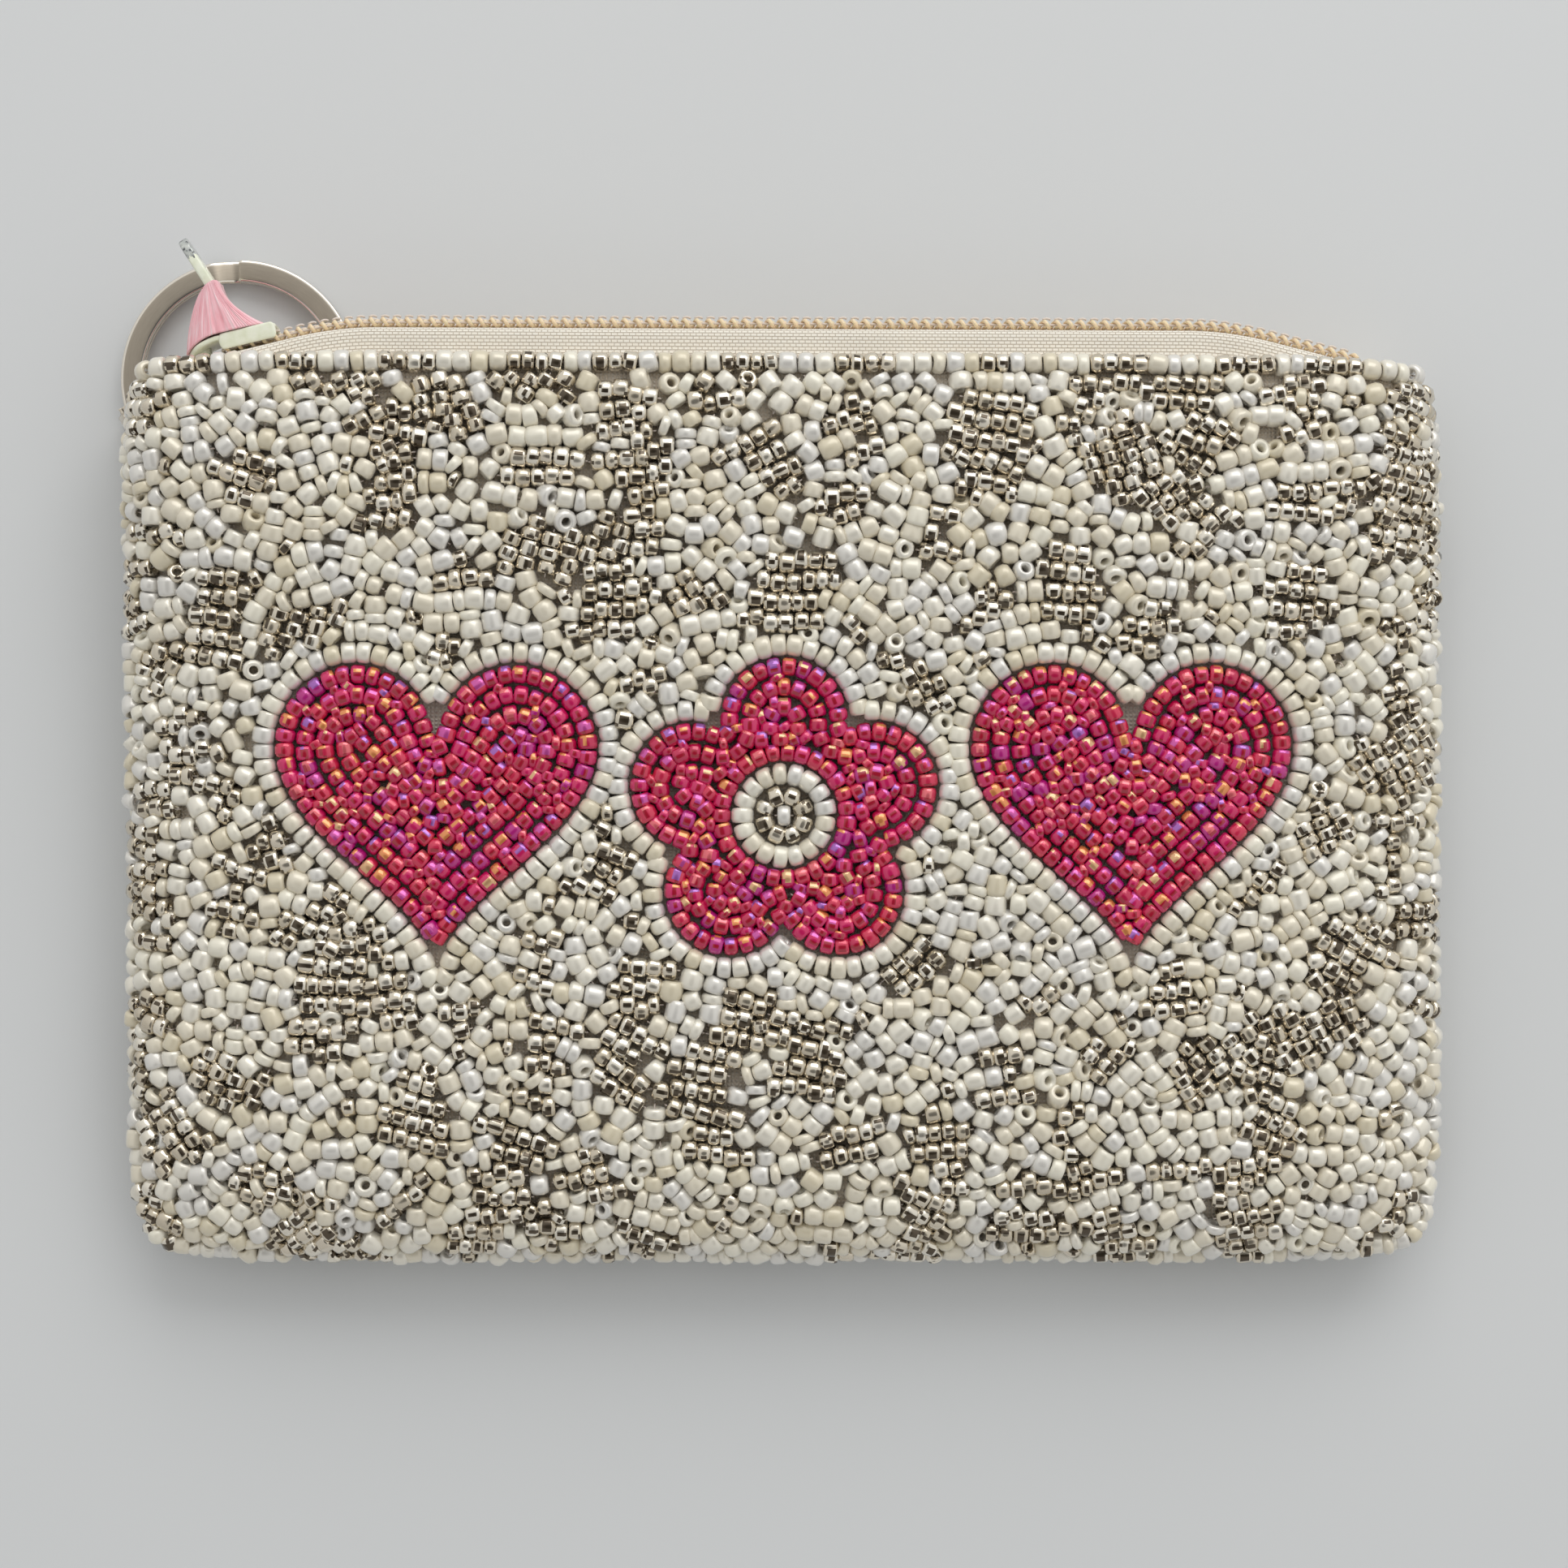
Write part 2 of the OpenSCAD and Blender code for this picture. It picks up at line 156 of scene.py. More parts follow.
class Place:
    """The surface's position, tangents per radian and outward normal at each pair of angles."""

    def __init__(self, side, ab):
        self.p = bead_surface(side, ab)
        self.ta, self.tb = ((bead_surface(side, ab + d) - bead_surface(side, ab - d)) / (2 * STEP)
                            for d in (np.array([STEP, 0]), np.array([0, STEP])))
        self.n = unit(np.cross(self.ta, self.tb)) * side
        self.across = unit(self.ta)
        self.up = np.cross(self.n, self.across) * side

    def axis(self, heading):
        return np.cos(heading)[:, None] * self.across + np.sin(heading)[:, None] * self.up

    def stretch(self):
        """The surface's area per square radian."""
        return np.linalg.norm(np.cross(self.ta, self.tb), axis=1)

    def angles(self, d):
        """The change of angles that moves along d in the surface."""
        aa, bb, ab = dot(self.ta, self.ta), dot(self.tb, self.tb), dot(self.ta, self.tb)
        da, db = dot(self.ta, d), dot(self.tb, d)
        det = np.maximum(aa * bb - ab * ab, 1e-3)
        return np.stack([(bb * da - ab * db) / det, (aa * db - ab * da) / det], -1)


# the highest angle that leaves room for the mouth's own row
TOP_LIMIT = math.asin(1 - 2 * 1.9 / (TOP_ROW_Y + HALF_H - BEAD_IN))


def keep_in(side, ab):
    """Moves bead centres off the seam and off the mouth's own row."""
    ab = np.clip(ab, [-EDGE, -EDGE], [EDGE, TOP_LIMIT])
    floor = FLOOR_CLEAR if side == FRONT else -BODY_H

    def height(q):
        p = shell(side, np.sin(q[:, 0]), np.sin(q[:, 1]), BEAD_IN, TOP_ROW_Y, floor)
        return side * (p[:, 2] - SEAM_Z - lift(p[:, 0], p[:, 1])) - SEAM_GAP

    for _ in range(3):
        h = height(ab)
        short = SEAM_CLEAR - h
        low = short > 0
        if not low.any():
            break
        q = ab[low]
        slope = np.stack([height(q + [STEP, 0]) - h[low], height(q + [0, STEP]) - h[low]], -1) / STEP
        size = np.maximum(dot(slope, slope), 4.0)
        ab[low] += slope * (np.minimum(short[low], 0.5) / size)[:, None]
    return ab


def angles_at(side, x, y):
    """The angles of the surface points over x and y, on the flat of a panel."""
    low = BEAD_IN - HALF_H
    t = 2 * (y - low) / (TOP_ROW_Y - low) - 1
    s = x / (HALF_W - BEAD_IN) / (1 - CORNER_CUT * np.abs(np.clip(t, -1, 1)) ** 10)
    return np.stack([np.arcsin(np.clip(s, -0.999, 0.999)), np.arcsin(np.clip(t, -0.999, 0.999))], -1)


class Beads:
    """The beads of one panel. free is how readily a bead moves aside, and half is half its length."""

    FIELDS = ("heading", "half", "radius", "free", "kind", "strand")

    def __init__(self, side):
        self.side = side
        self.ab = np.zeros((0, 2))
        self.heading, self.half, self.radius, self.free = (np.zeros(0) for _ in range(4))
        self.kind, self.strand = np.zeros(0, int), np.zeros(0, int)

    def add(self, ab, heading, half, radius, kind, strand, free):
        """strand numbers the beads' strings within this call, or is -1 for loose beads."""
        count = len(ab)
        first = self.strand.max() + 1 if len(self.strand) else 0
        strand = np.broadcast_to(strand, count)
        self.ab = np.vstack([self.ab, ab])
        strand = np.where(strand < 0, -1, strand + first)
        for name, value in zip(self.FIELDS, (heading, half, radius, free, kind, strand)):
            setattr(self, name, np.concatenate([getattr(self, name), np.broadcast_to(value, count)]))

    def area(self):
        return float((4 * self.half * self.radius).sum())


# ---- motifs ----
MOTIF_Y = -0.3
MOTIF_PITCH = 35.4
HEART_W, HEART_H = 33.0, 31.0
PETAL_REACH, PETAL_R, EYE_R = 9.6, 6.6, 5.4
PINK_LENGTH, PINK_R = 1.5, 1.0
ROW_STEP = 2.06
PINK_CLEAR = PINK_R + 0.05      # from a motif's edge, or its eye's, to the nearest row's middle


def heart_outline():
    a = np.linspace(0, 2 * np.pi, 160, endpoint=False)
    x = 16 * np.sin(a) ** 3
    y = 2.5 + 13 * np.cos(a) - 5 * np.cos(2 * a) - 2 * np.cos(3 * a) - np.cos(4 * a)
    return np.stack([x * HEART_W / 32, y * HEART_H / 29], -1)


def flower_outline():
    a = np.linspace(0, 2 * np.pi, 240, endpoint=False)
    turn = np.pi / 5 - np.abs((a - np.pi / 2) % (2 * np.pi / 5) - np.pi / 5)
    r = PETAL_REACH * np.cos(turn) + np.sqrt(np.maximum(0, PETAL_R**2 - (PETAL_REACH * np.sin(turn)) ** 2))
    return np.stack([r * np.cos(a), r * np.sin(a)], -1)


def inner_distance(points, outline):
    """How far inside an outline each point is, negative outside."""
    a, b = outline, np.roll(outline, -1, 0)
    ab, ap = b - a, points[:, None] - a
    u = np.clip(dot(ap, ab) / dot(ab, ab), 0, 1)
    d = np.linalg.norm(ap - u[..., None] * ab, axis=-1).min(1)
    y = points[:, 1:2]
    crosses = (a[:, 1] > y) != (b[:, 1] > y)
    with np.errstate(divide="ignore", invalid="ignore"):
        x = a[:, 0] + (y - a[:, 1]) / (b[:, 1] - a[:, 1]) * ab[:, 0]
    inside = (crosses & (points[:, 0:1] < x)).sum(1) % 2 == 1
    return np.where(inside, d, -d)


# a polar grid over a motif
BEARINGS = np.linspace(0, 2 * np.pi, 240, endpoint=False)
RAY = np.stack([np.cos(BEARINGS), np.sin(BEARINGS)], -1)
RADII = np.linspace(0.3, 24, 120)


def depth_map(outline):
    """How far inside an outline each point of a polar grid is."""
    return inner_distance((RAY[:, None] * RADII[None, :, None]).reshape(-1, 2), outline).reshape(len(RAY), -1)


def offset_curve(inner, depth):
    """The curve that runs depth inside an outline: a point for each bearing, or nan where there is none."""
    enough = inner >= depth
    last = len(RADII) - 1 - enough[:, ::-1].argmax(1)
    nxt = np.minimum(last + 1, len(RADII) - 1)
    k = np.arange(len(RAY))
    share = (inner[k, last] - depth) / np.maximum(inner[k, last] - inner[k, nxt], 1e-6)
    curve = (RADII[last] + np.clip(share, 0, 1) * (RADII[1] - RADII[0]))[:, None] * RAY
    curve[~enough.any(1)] = np.nan
    return curve


def runs_of(curve, wanted):
    """The stretches of a closed curve whose points are wanted, and whether each is the whole curve."""
    if wanted.all():
        return [(curve, True)]
    if not wanted.any():
        return []
    start = int(np.argmin(wanted))
    curve, wanted = np.roll(curve, -start, 0), np.roll(wanted, -start)
    ends = np.flatnonzero(np.diff(np.concatenate([[False], wanted, [False]]).astype(int)))
    return [(curve[i:j], False) for i, j in ends.reshape(-1, 2)]


def strung(points, closed, length):
    """Positions and headings of beads of one length strung along a line of points."""
    if closed:
        points = np.vstack([points, points[:1]])
    along = lengths_along(points)
    count = int(round(along[-1] / length)) if closed else int(along[-1] / length + 0.35)
    if count < 1:
        return np.zeros((0, 2)), np.zeros(0)
    at = (np.arange(count) + 0.5) * along[-1] / count

    def on_line(far):
        return np.stack([np.interp(far, along, points[:, i]) for i in range(2)], -1)

    d = on_line(at + 0.3) - on_line(at - 0.3)
    return on_line(at), np.arctan2(d[:, 1], d[:, 0])


def string_on(beads, points, closed, centre, length, radius, kind, rng):
    """Strings beads on a line in the front's plane. They hold their place when others are pushed aside."""
    xy, heading = strung(points, closed, length)
    if not len(xy):
        return
    spread = rng.normal(0, 0.03, len(xy))
    beads.add(angles_at(FRONT, centre + xy[:, 0], MOTIF_Y + xy[:, 1]), heading, length / 2 * (0.97 + spread),
              radius * (1 + rng.normal(0, 0.02, len(xy))), kind, 0, 0.0)


def add_motif(beads, inner, centre, hole, rng):
    """Rows of pink beads that follow a motif's outline inwards, and one row of pearls round it."""
    for k in range(6):
        curve = offset_curve(inner, PINK_CLEAR + k * ROW_STEP)
        room = np.linalg.norm(curve, axis=1) > (hole + PINK_CLEAR + ROW_STEP * 0.86 if hole else 0.8)
        for points, closed in runs_of(curve, room & ~np.isnan(curve[:, 0])):
            string_on(beads, points, closed, centre, PINK_LENGTH, PINK_R, PINK, rng)
    a = np.linspace(0, 2 * np.pi, 90, endpoint=False)
    circle = np.stack([np.cos(a), np.sin(a)], -1)
    if hole:
        for line, closed, length, radius, kind in (
                ((hole + PINK_CLEAR) * circle, True, PINK_LENGTH, PINK_R, PINK),
                ((hole - 1.15) * circle, True, 1.6, 1.12, PEARL),
                (2.05 * circle, True, 1.55, 1.02, SILVER),
                (np.array([[-0.7, 0], [0.7, 0]]), False, 1.4, 1.1, PEARL)):
            string_on(beads, line, closed, centre, length, radius, kind, rng)
    string_on(beads, offset_curve(inner, -1.18), True, centre, 1.62, 1.12, PEARL, rng)


# each motif's place along X, its outline and the radius of the eye in its middle
MOTIFS = [(-MOTIF_PITCH, heart_outline(), 0), (0.0, flower_outline(), EYE_R),
          (MOTIF_PITCH, heart_outline(), 0)]


def clear_of_motifs(p, margin):
    """Whether each point of the front lies at least margin outside every motif."""
    clear = np.ones(len(p), bool)
    for centre, outline, _ in MOTIFS:
        clear &= inner_distance(p[:, :2] - [centre, MOTIF_Y], outline) < -margin
    return clear


# ---- the field ----
def add_mouth_row(beads, rng):
    """The strand along the mouth's edge, its beads lying along X in short runs of pearls and of silver."""
    kind = np.concatenate([np.repeat([PEARL, SILVER], [rng.integers(2, 6), rng.integers(2, 5)])
                           for _ in range(30)])
    length = np.where(kind == PEARL, rng.uniform(1.35, 2.0, len(kind)), rng.uniform(1.35, 1.6, len(kind)))
    x = -HALF_W + 2.6 + np.cumsum(length + 0.03) - length / 2
    keep = x < HALF_W - 3.0
    x, length, kind = x[keep], length[keep], kind[keep]
    dip = 0.045 * (1 + np.sin(x / 3.1) * np.sin(x / 7.3 + 1)) * rng.random(len(x))
    ab = np.stack([np.arcsin(x / (HALF_W - BEAD_IN) / (1 - CORNER_CUT)), math.asin(0.9995) - dip], -1)
    beads.add(ab, rng.normal(0, 0.09, len(x)), length / 2, np.where(kind == PEARL, 1.12, 1.05), kind, 0, 0.0)


def spots(side, low, high, count, rng):
    """Pairs of angles spread evenly over a panel's surface, at most count of them."""
    ab = rng.uniform(low, high, (count, 2))
    weight = Place(side, ab).stretch()
    return ab[rng.random(len(ab)) < weight / weight.max()]


SILVER_STEP, SILVER_ROW = 1.63, 2.12    # between the silver beads of a row, and between rows


def add_silver_patches(beads, count, rng):
    """Small blocks of silver beads, set in rows and spread evenly over the panel."""
    edge = math.pi / 2 - 0.05
    ab = spots(beads.side, [-edge, -edge], [edge, edge], 6000, rng)
    p = bead_surface(beads.side, ab)
    if beads.side == FRONT:
        ok = clear_of_motifs(p, 3.4)
        ab, p = ab[ok], p[ok]
    taken, centres = np.zeros((0, 3)), []
    for q, angle in zip(p, ab):
        if np.linalg.norm(taken - q, axis=1).min(initial=99) > rng.uniform(6.6, 9.4):
            taken = np.vstack([taken, q])
            centres.append(angle)
        if len(centres) == count:
            break
    for angle in centres:
        rows = int(rng.choice([1, 2, 3, 4, 5, 6], p=[0.08, 0.16, 0.24, 0.24, 0.18, 0.1]))
        slant = rng.normal(0, 0.16) + (rng.uniform(-1.2, 1.2) if rng.random() < 0.3 else 0)
        wide = rng.integers(3, 6)
        drift = rng.normal(0, 0.35)
        for k in range(rows):
            n = max(1, int(wide + rng.integers(-2, 2)))
            u = (np.arange(n) - (n - 1) / 2) * SILVER_STEP + rng.uniform(-1.0, 1.0) + drift * k
            w = np.full(n, (k - (rows - 1) / 2) * SILVER_ROW) + rng.normal(0, 0.1, n)
            place = Place(beads.side, np.repeat(angle[None], n, 0))
            along, across = place.axis(np.full(n, slant)), place.axis(np.full(n, slant + np.pi / 2))
            row = keep_in(beads.side, angle + place.angles(u[:, None] * along + w[:, None] * across))
            if beads.side == FRONT:
                row = row[clear_of_motifs(bead_surface(FRONT, row), 2.9)]
            if len(row):
                beads.add(row, slant + rng.normal(0, 0.1), rng.uniform(0.66, 0.86, len(row)),
                          rng.uniform(0.98, 1.1, len(row)), SILVER, 0, 0.35)


LONGEST = 5             # beads in the longest string


def candidate_strands(side, count, rng):
    """Short strings of pearls laid at random: places, headings and sizes, with a row for each string."""
    edge = math.pi / 2 - 0.03
    ab = spots(side, [-edge, -edge], [edge, TOP_LIMIT], count * 4, rng)[:count]
    count = len(ab)
    each = (count, LONGEST)
    length = np.where(rng.random(each) < 0.22, rng.uniform(1.0, 1.3, each), rng.uniform(1.5, 2.25, each))
    radius = np.clip(rng.normal(1.16, 0.05, each), 1.02, 1.26)
    p = bead_surface(side, ab)
    heading = 1.1 * np.sin(p[:, 0] / 13 + 2 * np.cos(p[:, 1] / 17)) + rng.normal(0, 0.9, count)
    size = rng.choice([1, 2, 3, 4, 5], count, p=[0.22, 0.26, 0.24, 0.18, 0.10])
    angles, headings = [ab], [heading]
    for k in range(1, LONGEST):
        place = Place(side, angles[-1])
        step = (length[:, k - 1] + length[:, k]) / 2 * 1.02
        angles.append(angles[-1] + place.angles(step[:, None] * place.axis(headings[-1])))
        headings.append(headings[-1] + rng.normal(0, 0.14, count))
    return np.stack(angles, 1), np.stack(headings, 1), length / 2, radius, size


def scatter(beads, cover, rng):
    """Fills the rest of a panel with pearls, first laid loosely so that they can be pushed apart."""
    side = beads.side
    angles, headings, halves, radii, sizes = candidate_strands(side, 14000, rng)
    at = bead_surface(side, angles.reshape(-1, 2))
    fits = (np.abs(angles).max(-1) < EDGE) & (angles[..., 1] < TOP_LIMIT)
    if side == FRONT:
        fits &= clear_of_motifs(at, 2.4).reshape(fits.shape)
    at, reaches = at.reshape(*fits.shape, 3), np.sqrt(halves * radii)
    used = np.arange(LONGEST) < sizes[:, None]
    good = (fits | ~used).all(1)
    n = len(beads.ab)
    p, r = np.zeros((9000, 3)), np.zeros(9000)
    p[:n], r[:n] = bead_surface(side, beads.ab), np.sqrt(beads.half * beads.radius)
    area, chosen = 0.0, []
    for k in np.flatnonzero(good):
        size = sizes[k]
        q, rq = at[k, :size], reaches[k, :size]
        gap = np.linalg.norm(q[:, None] - p[None, :n], axis=-1) - 0.64 * (rq[:, None] + r[None, :n])
        if gap.min() < 0:
            continue
        p[n:n + size], r[n:n + size] = q, rq
        n += size
        chosen.append(k)
        area += float((4 * rq * rq).sum())
        if area > cover:
            break
    for k in chosen:
        size = sizes[k]
        beads.add(angles[k, :size], headings[k, :size], halves[k, :size], radii[k, :size], PEARL,
                  0 if size > 1 else -1, 1.0)


def fill_gaps(beads, rng):
    """Adds a single bead wherever the fabric would still show."""
    side = beads.side
    edge = math.pi / 2 - 0.03
    ab = rng.uniform([-edge, -edge], [edge, TOP_LIMIT], (22000, 2))
    if side == FRONT:
        spot = rng.uniform([-18, -18], [18, 18], (9000, 2)) + [0, MOTIF_Y]
        spot[:, 0] += rng.choice([x for x, _, _ in MOTIFS], len(spot))
        ab = np.vstack([ab, angles_at(FRONT, spot[:, 0], spot[:, 1])])
    q = bead_surface(side, ab).astype(np.float32)
    p = bead_surface(side, beads.ab).astype(np.float32)
    size = np.sqrt(beads.half * beads.radius).astype(np.float32)
    room = np.full(len(q), 9.0)
    for k in range(0, len(q), 4000):
        part = q[k:k + 4000]
        d2 = (part * part).sum(1)[:, None] + (p * p).sum(1)[None] - 2 * part @ p.T
        room[k:k + 4000] = (np.sqrt(np.maximum(d2, 0)) - size).min(1)
    inside = np.full(len(q), -9.0)
    if side == FRONT:
        for centre, outline, hole in MOTIFS:
            inside = np.maximum(inside, inner_distance(q[:, :2] - [centre, MOTIF_Y], outline))
            room[np.hypot(q[:, 0] - centre, q[:, 1] - MOTIF_Y) < 1.08 * hole] = 0
    room[(inside > -1.6) & (inside < 0.85)] = 0
    order = np.argsort(-room)
    order = order[room[order] > np.where(inside[order] > 0, 0.26, 0.36)]
    taken = np.zeros((0, 3))
    for k in order:
        if np.linalg.norm(taken - q[k], axis=1).min(initial=99) > (1.3 if inside[k] > 0 else 1.5):
            taken = np.vstack([taken, q[k]])
            silver = side == FRONT and rng.random() < 0.16
            motif = inside[k] > 0
            kind = PINK if motif else SILVER if silver else PEARL
            half = min(0.72 if motif else 0.95, max(0.45, room[k] + 0.15))
            radius = min(1.0, 0.72 + 0.6 * room[k]) if motif else 1.08
            beads.add(ab[k][None], rng.uniform(0, np.pi), half, radius, kind, -1, 0.4 if motif else 1.0)


def reach(cos, half, radius):
    """How far a bead reaches from its centre, in a direction whose cosine to its axis is given."""
    sin = np.sqrt(np.maximum(0, 1 - cos * cos))
    return ((np.abs(cos) / half) ** 3 + (sin / radius) ** 3) ** (-1 / 3)


def close_pairs(p, cut):
    """The pairs of points that lie less than cut apart."""
    p = p.astype(np.float32)
    square = (p * p).sum(1)
    d2 = square[:, None] + square[None] - 2 * p @ p.T
    i, j = np.nonzero(np.triu(d2 < cut * cut, 1))
    return i, j


def settle(beads, rounds, start):
    """Pushes beads apart until they lie side by side, while each string stays together."""
    side = beads.side
    nxt = np.flatnonzero((beads.strand[:-1] == beads.strand[1:]) & (beads.strand[:-1] >= 0))
    prev_of, next_of = np.arange(len(beads.ab)), np.arange(len(beads.ab))
    next_of[nxt], prev_of[nxt + 1] = nxt + 1, nxt
    strung_on = (next_of != prev_of) & (beads.free > 0.5)
    moving = beads.free > 0
    for k in range(rounds):
        place = Place(side, beads.ab)
        p = place.p
        if k % 10 == 0:
            i, j = close_pairs(p, 3.4)
            linked = (beads.strand[i] == beads.strand[j]) & (beads.strand[i] >= 0) & (j == i + 1)
            wanted = (beads.free[i] + beads.free[j]) > 0
            i, j, linked = i[wanted], j[wanted], linked[wanted]
        axis = place.axis(beads.heading)
        d = p[j] - p[i]
        dist = np.maximum(np.linalg.norm(d, axis=1), 1e-3)
        d /= dist[:, None]
        size = min(1.0, start + (1 - start) * k / (0.6 * rounds))
        need = reach(np.abs(dot(d, axis[i])), beads.half[i], beads.radius[i])
        need += reach(np.abs(dot(d, axis[j])), beads.half[j], beads.radius[j])
        need = np.where(linked, beads.half[i] + beads.half[j], need * size)
        push = np.where(linked, need - dist, np.maximum(0, need - dist))
        both = beads.free[i] + beads.free[j]
        move = np.zeros_like(p)
        np.add.at(move, i, -d * (push * beads.free[i] / both)[:, None])
        np.add.at(move, j, d * (push * beads.free[j] / both)[:, None])
        move *= 0.42
        step = np.linalg.norm(move, axis=1, keepdims=True)
        move *= np.minimum(1, 0.45 / np.maximum(step, 1e-6))
        ab = beads.ab + place.angles(move)
        beads.ab[moving] = keep_in(side, ab[moving])
        line = bead_surface(side, beads.ab[next_of]) - bead_surface(side, beads.ab[prev_of])
        turn = np.arctan2(dot(line, place.up), dot(line, place.across))
        beads.heading = np.where(strung_on, turn, beads.heading)


def panel_area(side):
    """The area of the surface on which a panel's beads lie."""
    a, b = np.linspace(-EDGE, EDGE, 160), np.linspace(-EDGE, EDGE, 120)
    place = Place(side, np.stack(np.meshgrid(a, b), -1).reshape(-1, 2))
    return float(place.stretch().sum() * (a[1] - a[0]) * (b[1] - b[0]))


COVER = 0.99            # share of a panel that its beads' outlines cover


def lay_panel(side, seed, patches):
    """All the beads of one panel."""
    rng = np.random.default_rng(seed)
    beads = Beads(side)
    if side == FRONT:
        for centre, outline, hole in MOTIFS:
            add_motif(beads, depth_map(outline), centre, hole, rng)
    add_mouth_row(beads, rng)
    add_silver_patches(beads, patches, rng)
    scatter(beads, COVER * panel_area(side) - beads.area(), rng)
    settle(beads, 110, 0.72)
    for rounds in (40, 30):
        fill_gaps(beads, rng)
        settle(beads, rounds, 0.9)
    return beads


# ---- meshes ----
def mesh_object(name, verts, faces, smooth_faces=True, slots=None):
    """An object from vertices in millimetres and an array of quads."""
    faces = np.asarray(faces, np.int32)
    me = bpy.data.meshes.new(name)
    me.vertices.add(len(verts))
    me.vertices.foreach_set("co", (np.asarray(verts) * MM).astype(np.float32).ravel())
    me.loops.add(faces.size)
    me.loops.foreach_set("vertex_index", faces.ravel())
    me.polygons.add(len(faces))
    me.polygons.foreach_set("loop_start", np.arange(0, faces.size, faces.shape[1], dtype=np.int32))
    me.polygons.foreach_set("use_smooth", np.full(len(faces), smooth_faces))
    if slots is not None:
        me.polygons.foreach_set("material_index", np.asarray(slots, np.int32))
    me.update(calc_edges=True)
    obj = bpy.data.objects.new(name, me)
    bpy.context.scene.collection.objects.link(obj)
    return obj


class Form:
    """Closed shells that together make one piece. weave holds each vertex's coordinates for its pattern."""

    def __init__(self):
        self.verts, self.faces, self.weave, self.slots, self.count = [], [], [], [], 0

    def add(self, verts, faces, weave, slot=0):
        self.verts.append(verts)
        self.weave.append(weave)
        self.faces += [[int(k) + self.count for k in face] for face in faces]
        self.slots += [slot] * len(faces)
        self.count += len(verts)

    def make(self, name, materials, smooth_angle=None):
        me = bpy.data.meshes.new(name)
        verts = np.vstack(self.verts)
        me.from_pydata((verts * MM).tolist(), [], self.faces)
        me.polygons.foreach_set("use_smooth", np.full(len(self.faces), True))
        me.polygons.foreach_set("material_index", np.asarray(self.slots, np.int32))
        weave = me.attributes.new("weave", "FLOAT_VECTOR", "POINT")
        weave.data.foreach_set("vector", np.vstack(self.weave).astype(np.float32).ravel())
        shape = bmesh.new()
        shape.from_mesh(me)
        bmesh.ops.recalc_face_normals(shape, faces=shape.faces)
        shape.to_mesh(me)
        shape.free()
        if smooth_angle is not None:
            me.set_sharp_from_angle(angle=math.radians(smooth_angle))
        obj = bpy.data.objects.new(name, me)
        bpy.context.scene.collection.objects.link(obj)
        for material in materials:
            me.materials.append(material)
        return obj


def cloth_shell(form, outer, inner, u, v):
    """A closed sheet between two grids of points. u and v are its weave coordinates."""
    nu, nv = outer.shape[:2]
    quads = []
    o = np.arange(nu * nv).reshape(nu, nv)
    n = o + nu * nv
    for grid, turned in ((o, False), (n, True)):
        q = np.stack([grid[:-1, :-1], grid[:-1, 1:], grid[1:, 1:], grid[1:, :-1]], -1).reshape(-1, 4)
        quads.append(q[:, ::-1] if turned else q)
    rim = np.concatenate([o[:, 0], o[-1, 1:], o[-2::-1, -1], o[0, -2:0:-1]])
    rim2 = rim + nu * nv
    quads.append(np.stack([rim, np.roll(rim, -1), np.roll(rim2, -1), rim2], -1))
    weave = np.stack([u, v, np.zeros_like(u)], -1).reshape(-1, 3)
    form.add(np.concatenate([outer.reshape(-1, 3), inner.reshape(-1, 3)]), np.concatenate(quads).tolist(),
             np.concatenate([weave, weave]))


def tube(form, path, radius, sides, slot=0):
    """A round bar along a line of points, closed at both ends."""
    path = np.asarray(path, float)
    n = len(path)
    radius = np.broadcast_to(np.asarray(radius, float), n)
    d = unit(np.gradient(path, axis=0))
    side = unit(np.cross(d, unit(np.array([0.13, 0.21, 1.0]))))
    up = np.cross(side, d)
    a = np.linspace(0, 2 * np.pi, sides, endpoint=False)
    ring = np.cos(a)[None, :, None] * side[:, None] + np.sin(a)[None, :, None] * up[:, None]
    verts = (path[:, None] + radius[:, None, None] * ring).reshape(-1, 3)
    along = lengths_along(path)
    weave = np.stack([np.repeat(along, sides), np.tile(a * radius.mean(), n), np.zeros(n * sides)], -1)
    faces = ring_quads(n, sides, False).tolist()
    faces += [list(range(sides))[::-1], list(range((n - 1) * sides, n * sides))]
    form.add(verts, faces, weave, slot)


def sweep(form, rings, close_rings, weave):
    """A skin over rings of points, closed at its ends unless the rings close on themselves."""
    n, segments = rings.shape[:2]
    faces = ring_quads(n, segments, close_rings).tolist()
    if not close_rings:
        faces += [list(range(segments))[::-1], list(range((n - 1) * segments, n * segments))]
    form.add(rings.reshape(-1, 3), faces, weave)


def slab(form, outline, low, high, bevel, place):
    """A plate with rounded edges. outline runs counterclockwise, and low and high are its faces."""
    p = np.asarray(outline, float)
    d = unit(np.roll(p, -1, 0) - p)
    n1 = np.stack([d[:, 1], -d[:, 0]], -1)
    n0 = np.roll(n1, 1, 0)
    out = (n0 + n1) / np.maximum(1 + dot(n0, n1), 0.3)[:, None]
    rings = []
    for face, inward in ((low, 1), (high, -1)):
        for turn in np.linspace(0, np.pi / 2, 4)[::inward]:
            z = face + inward * bevel * (1 - np.cos(turn))
            rings.append(np.column_stack([p - out * bevel * (1 - np.sin(turn)), np.full(len(p), z)]))
    weave = np.concatenate(rings)
    sweep(form, place(weave).reshape(8, len(p), 3), False, weave)


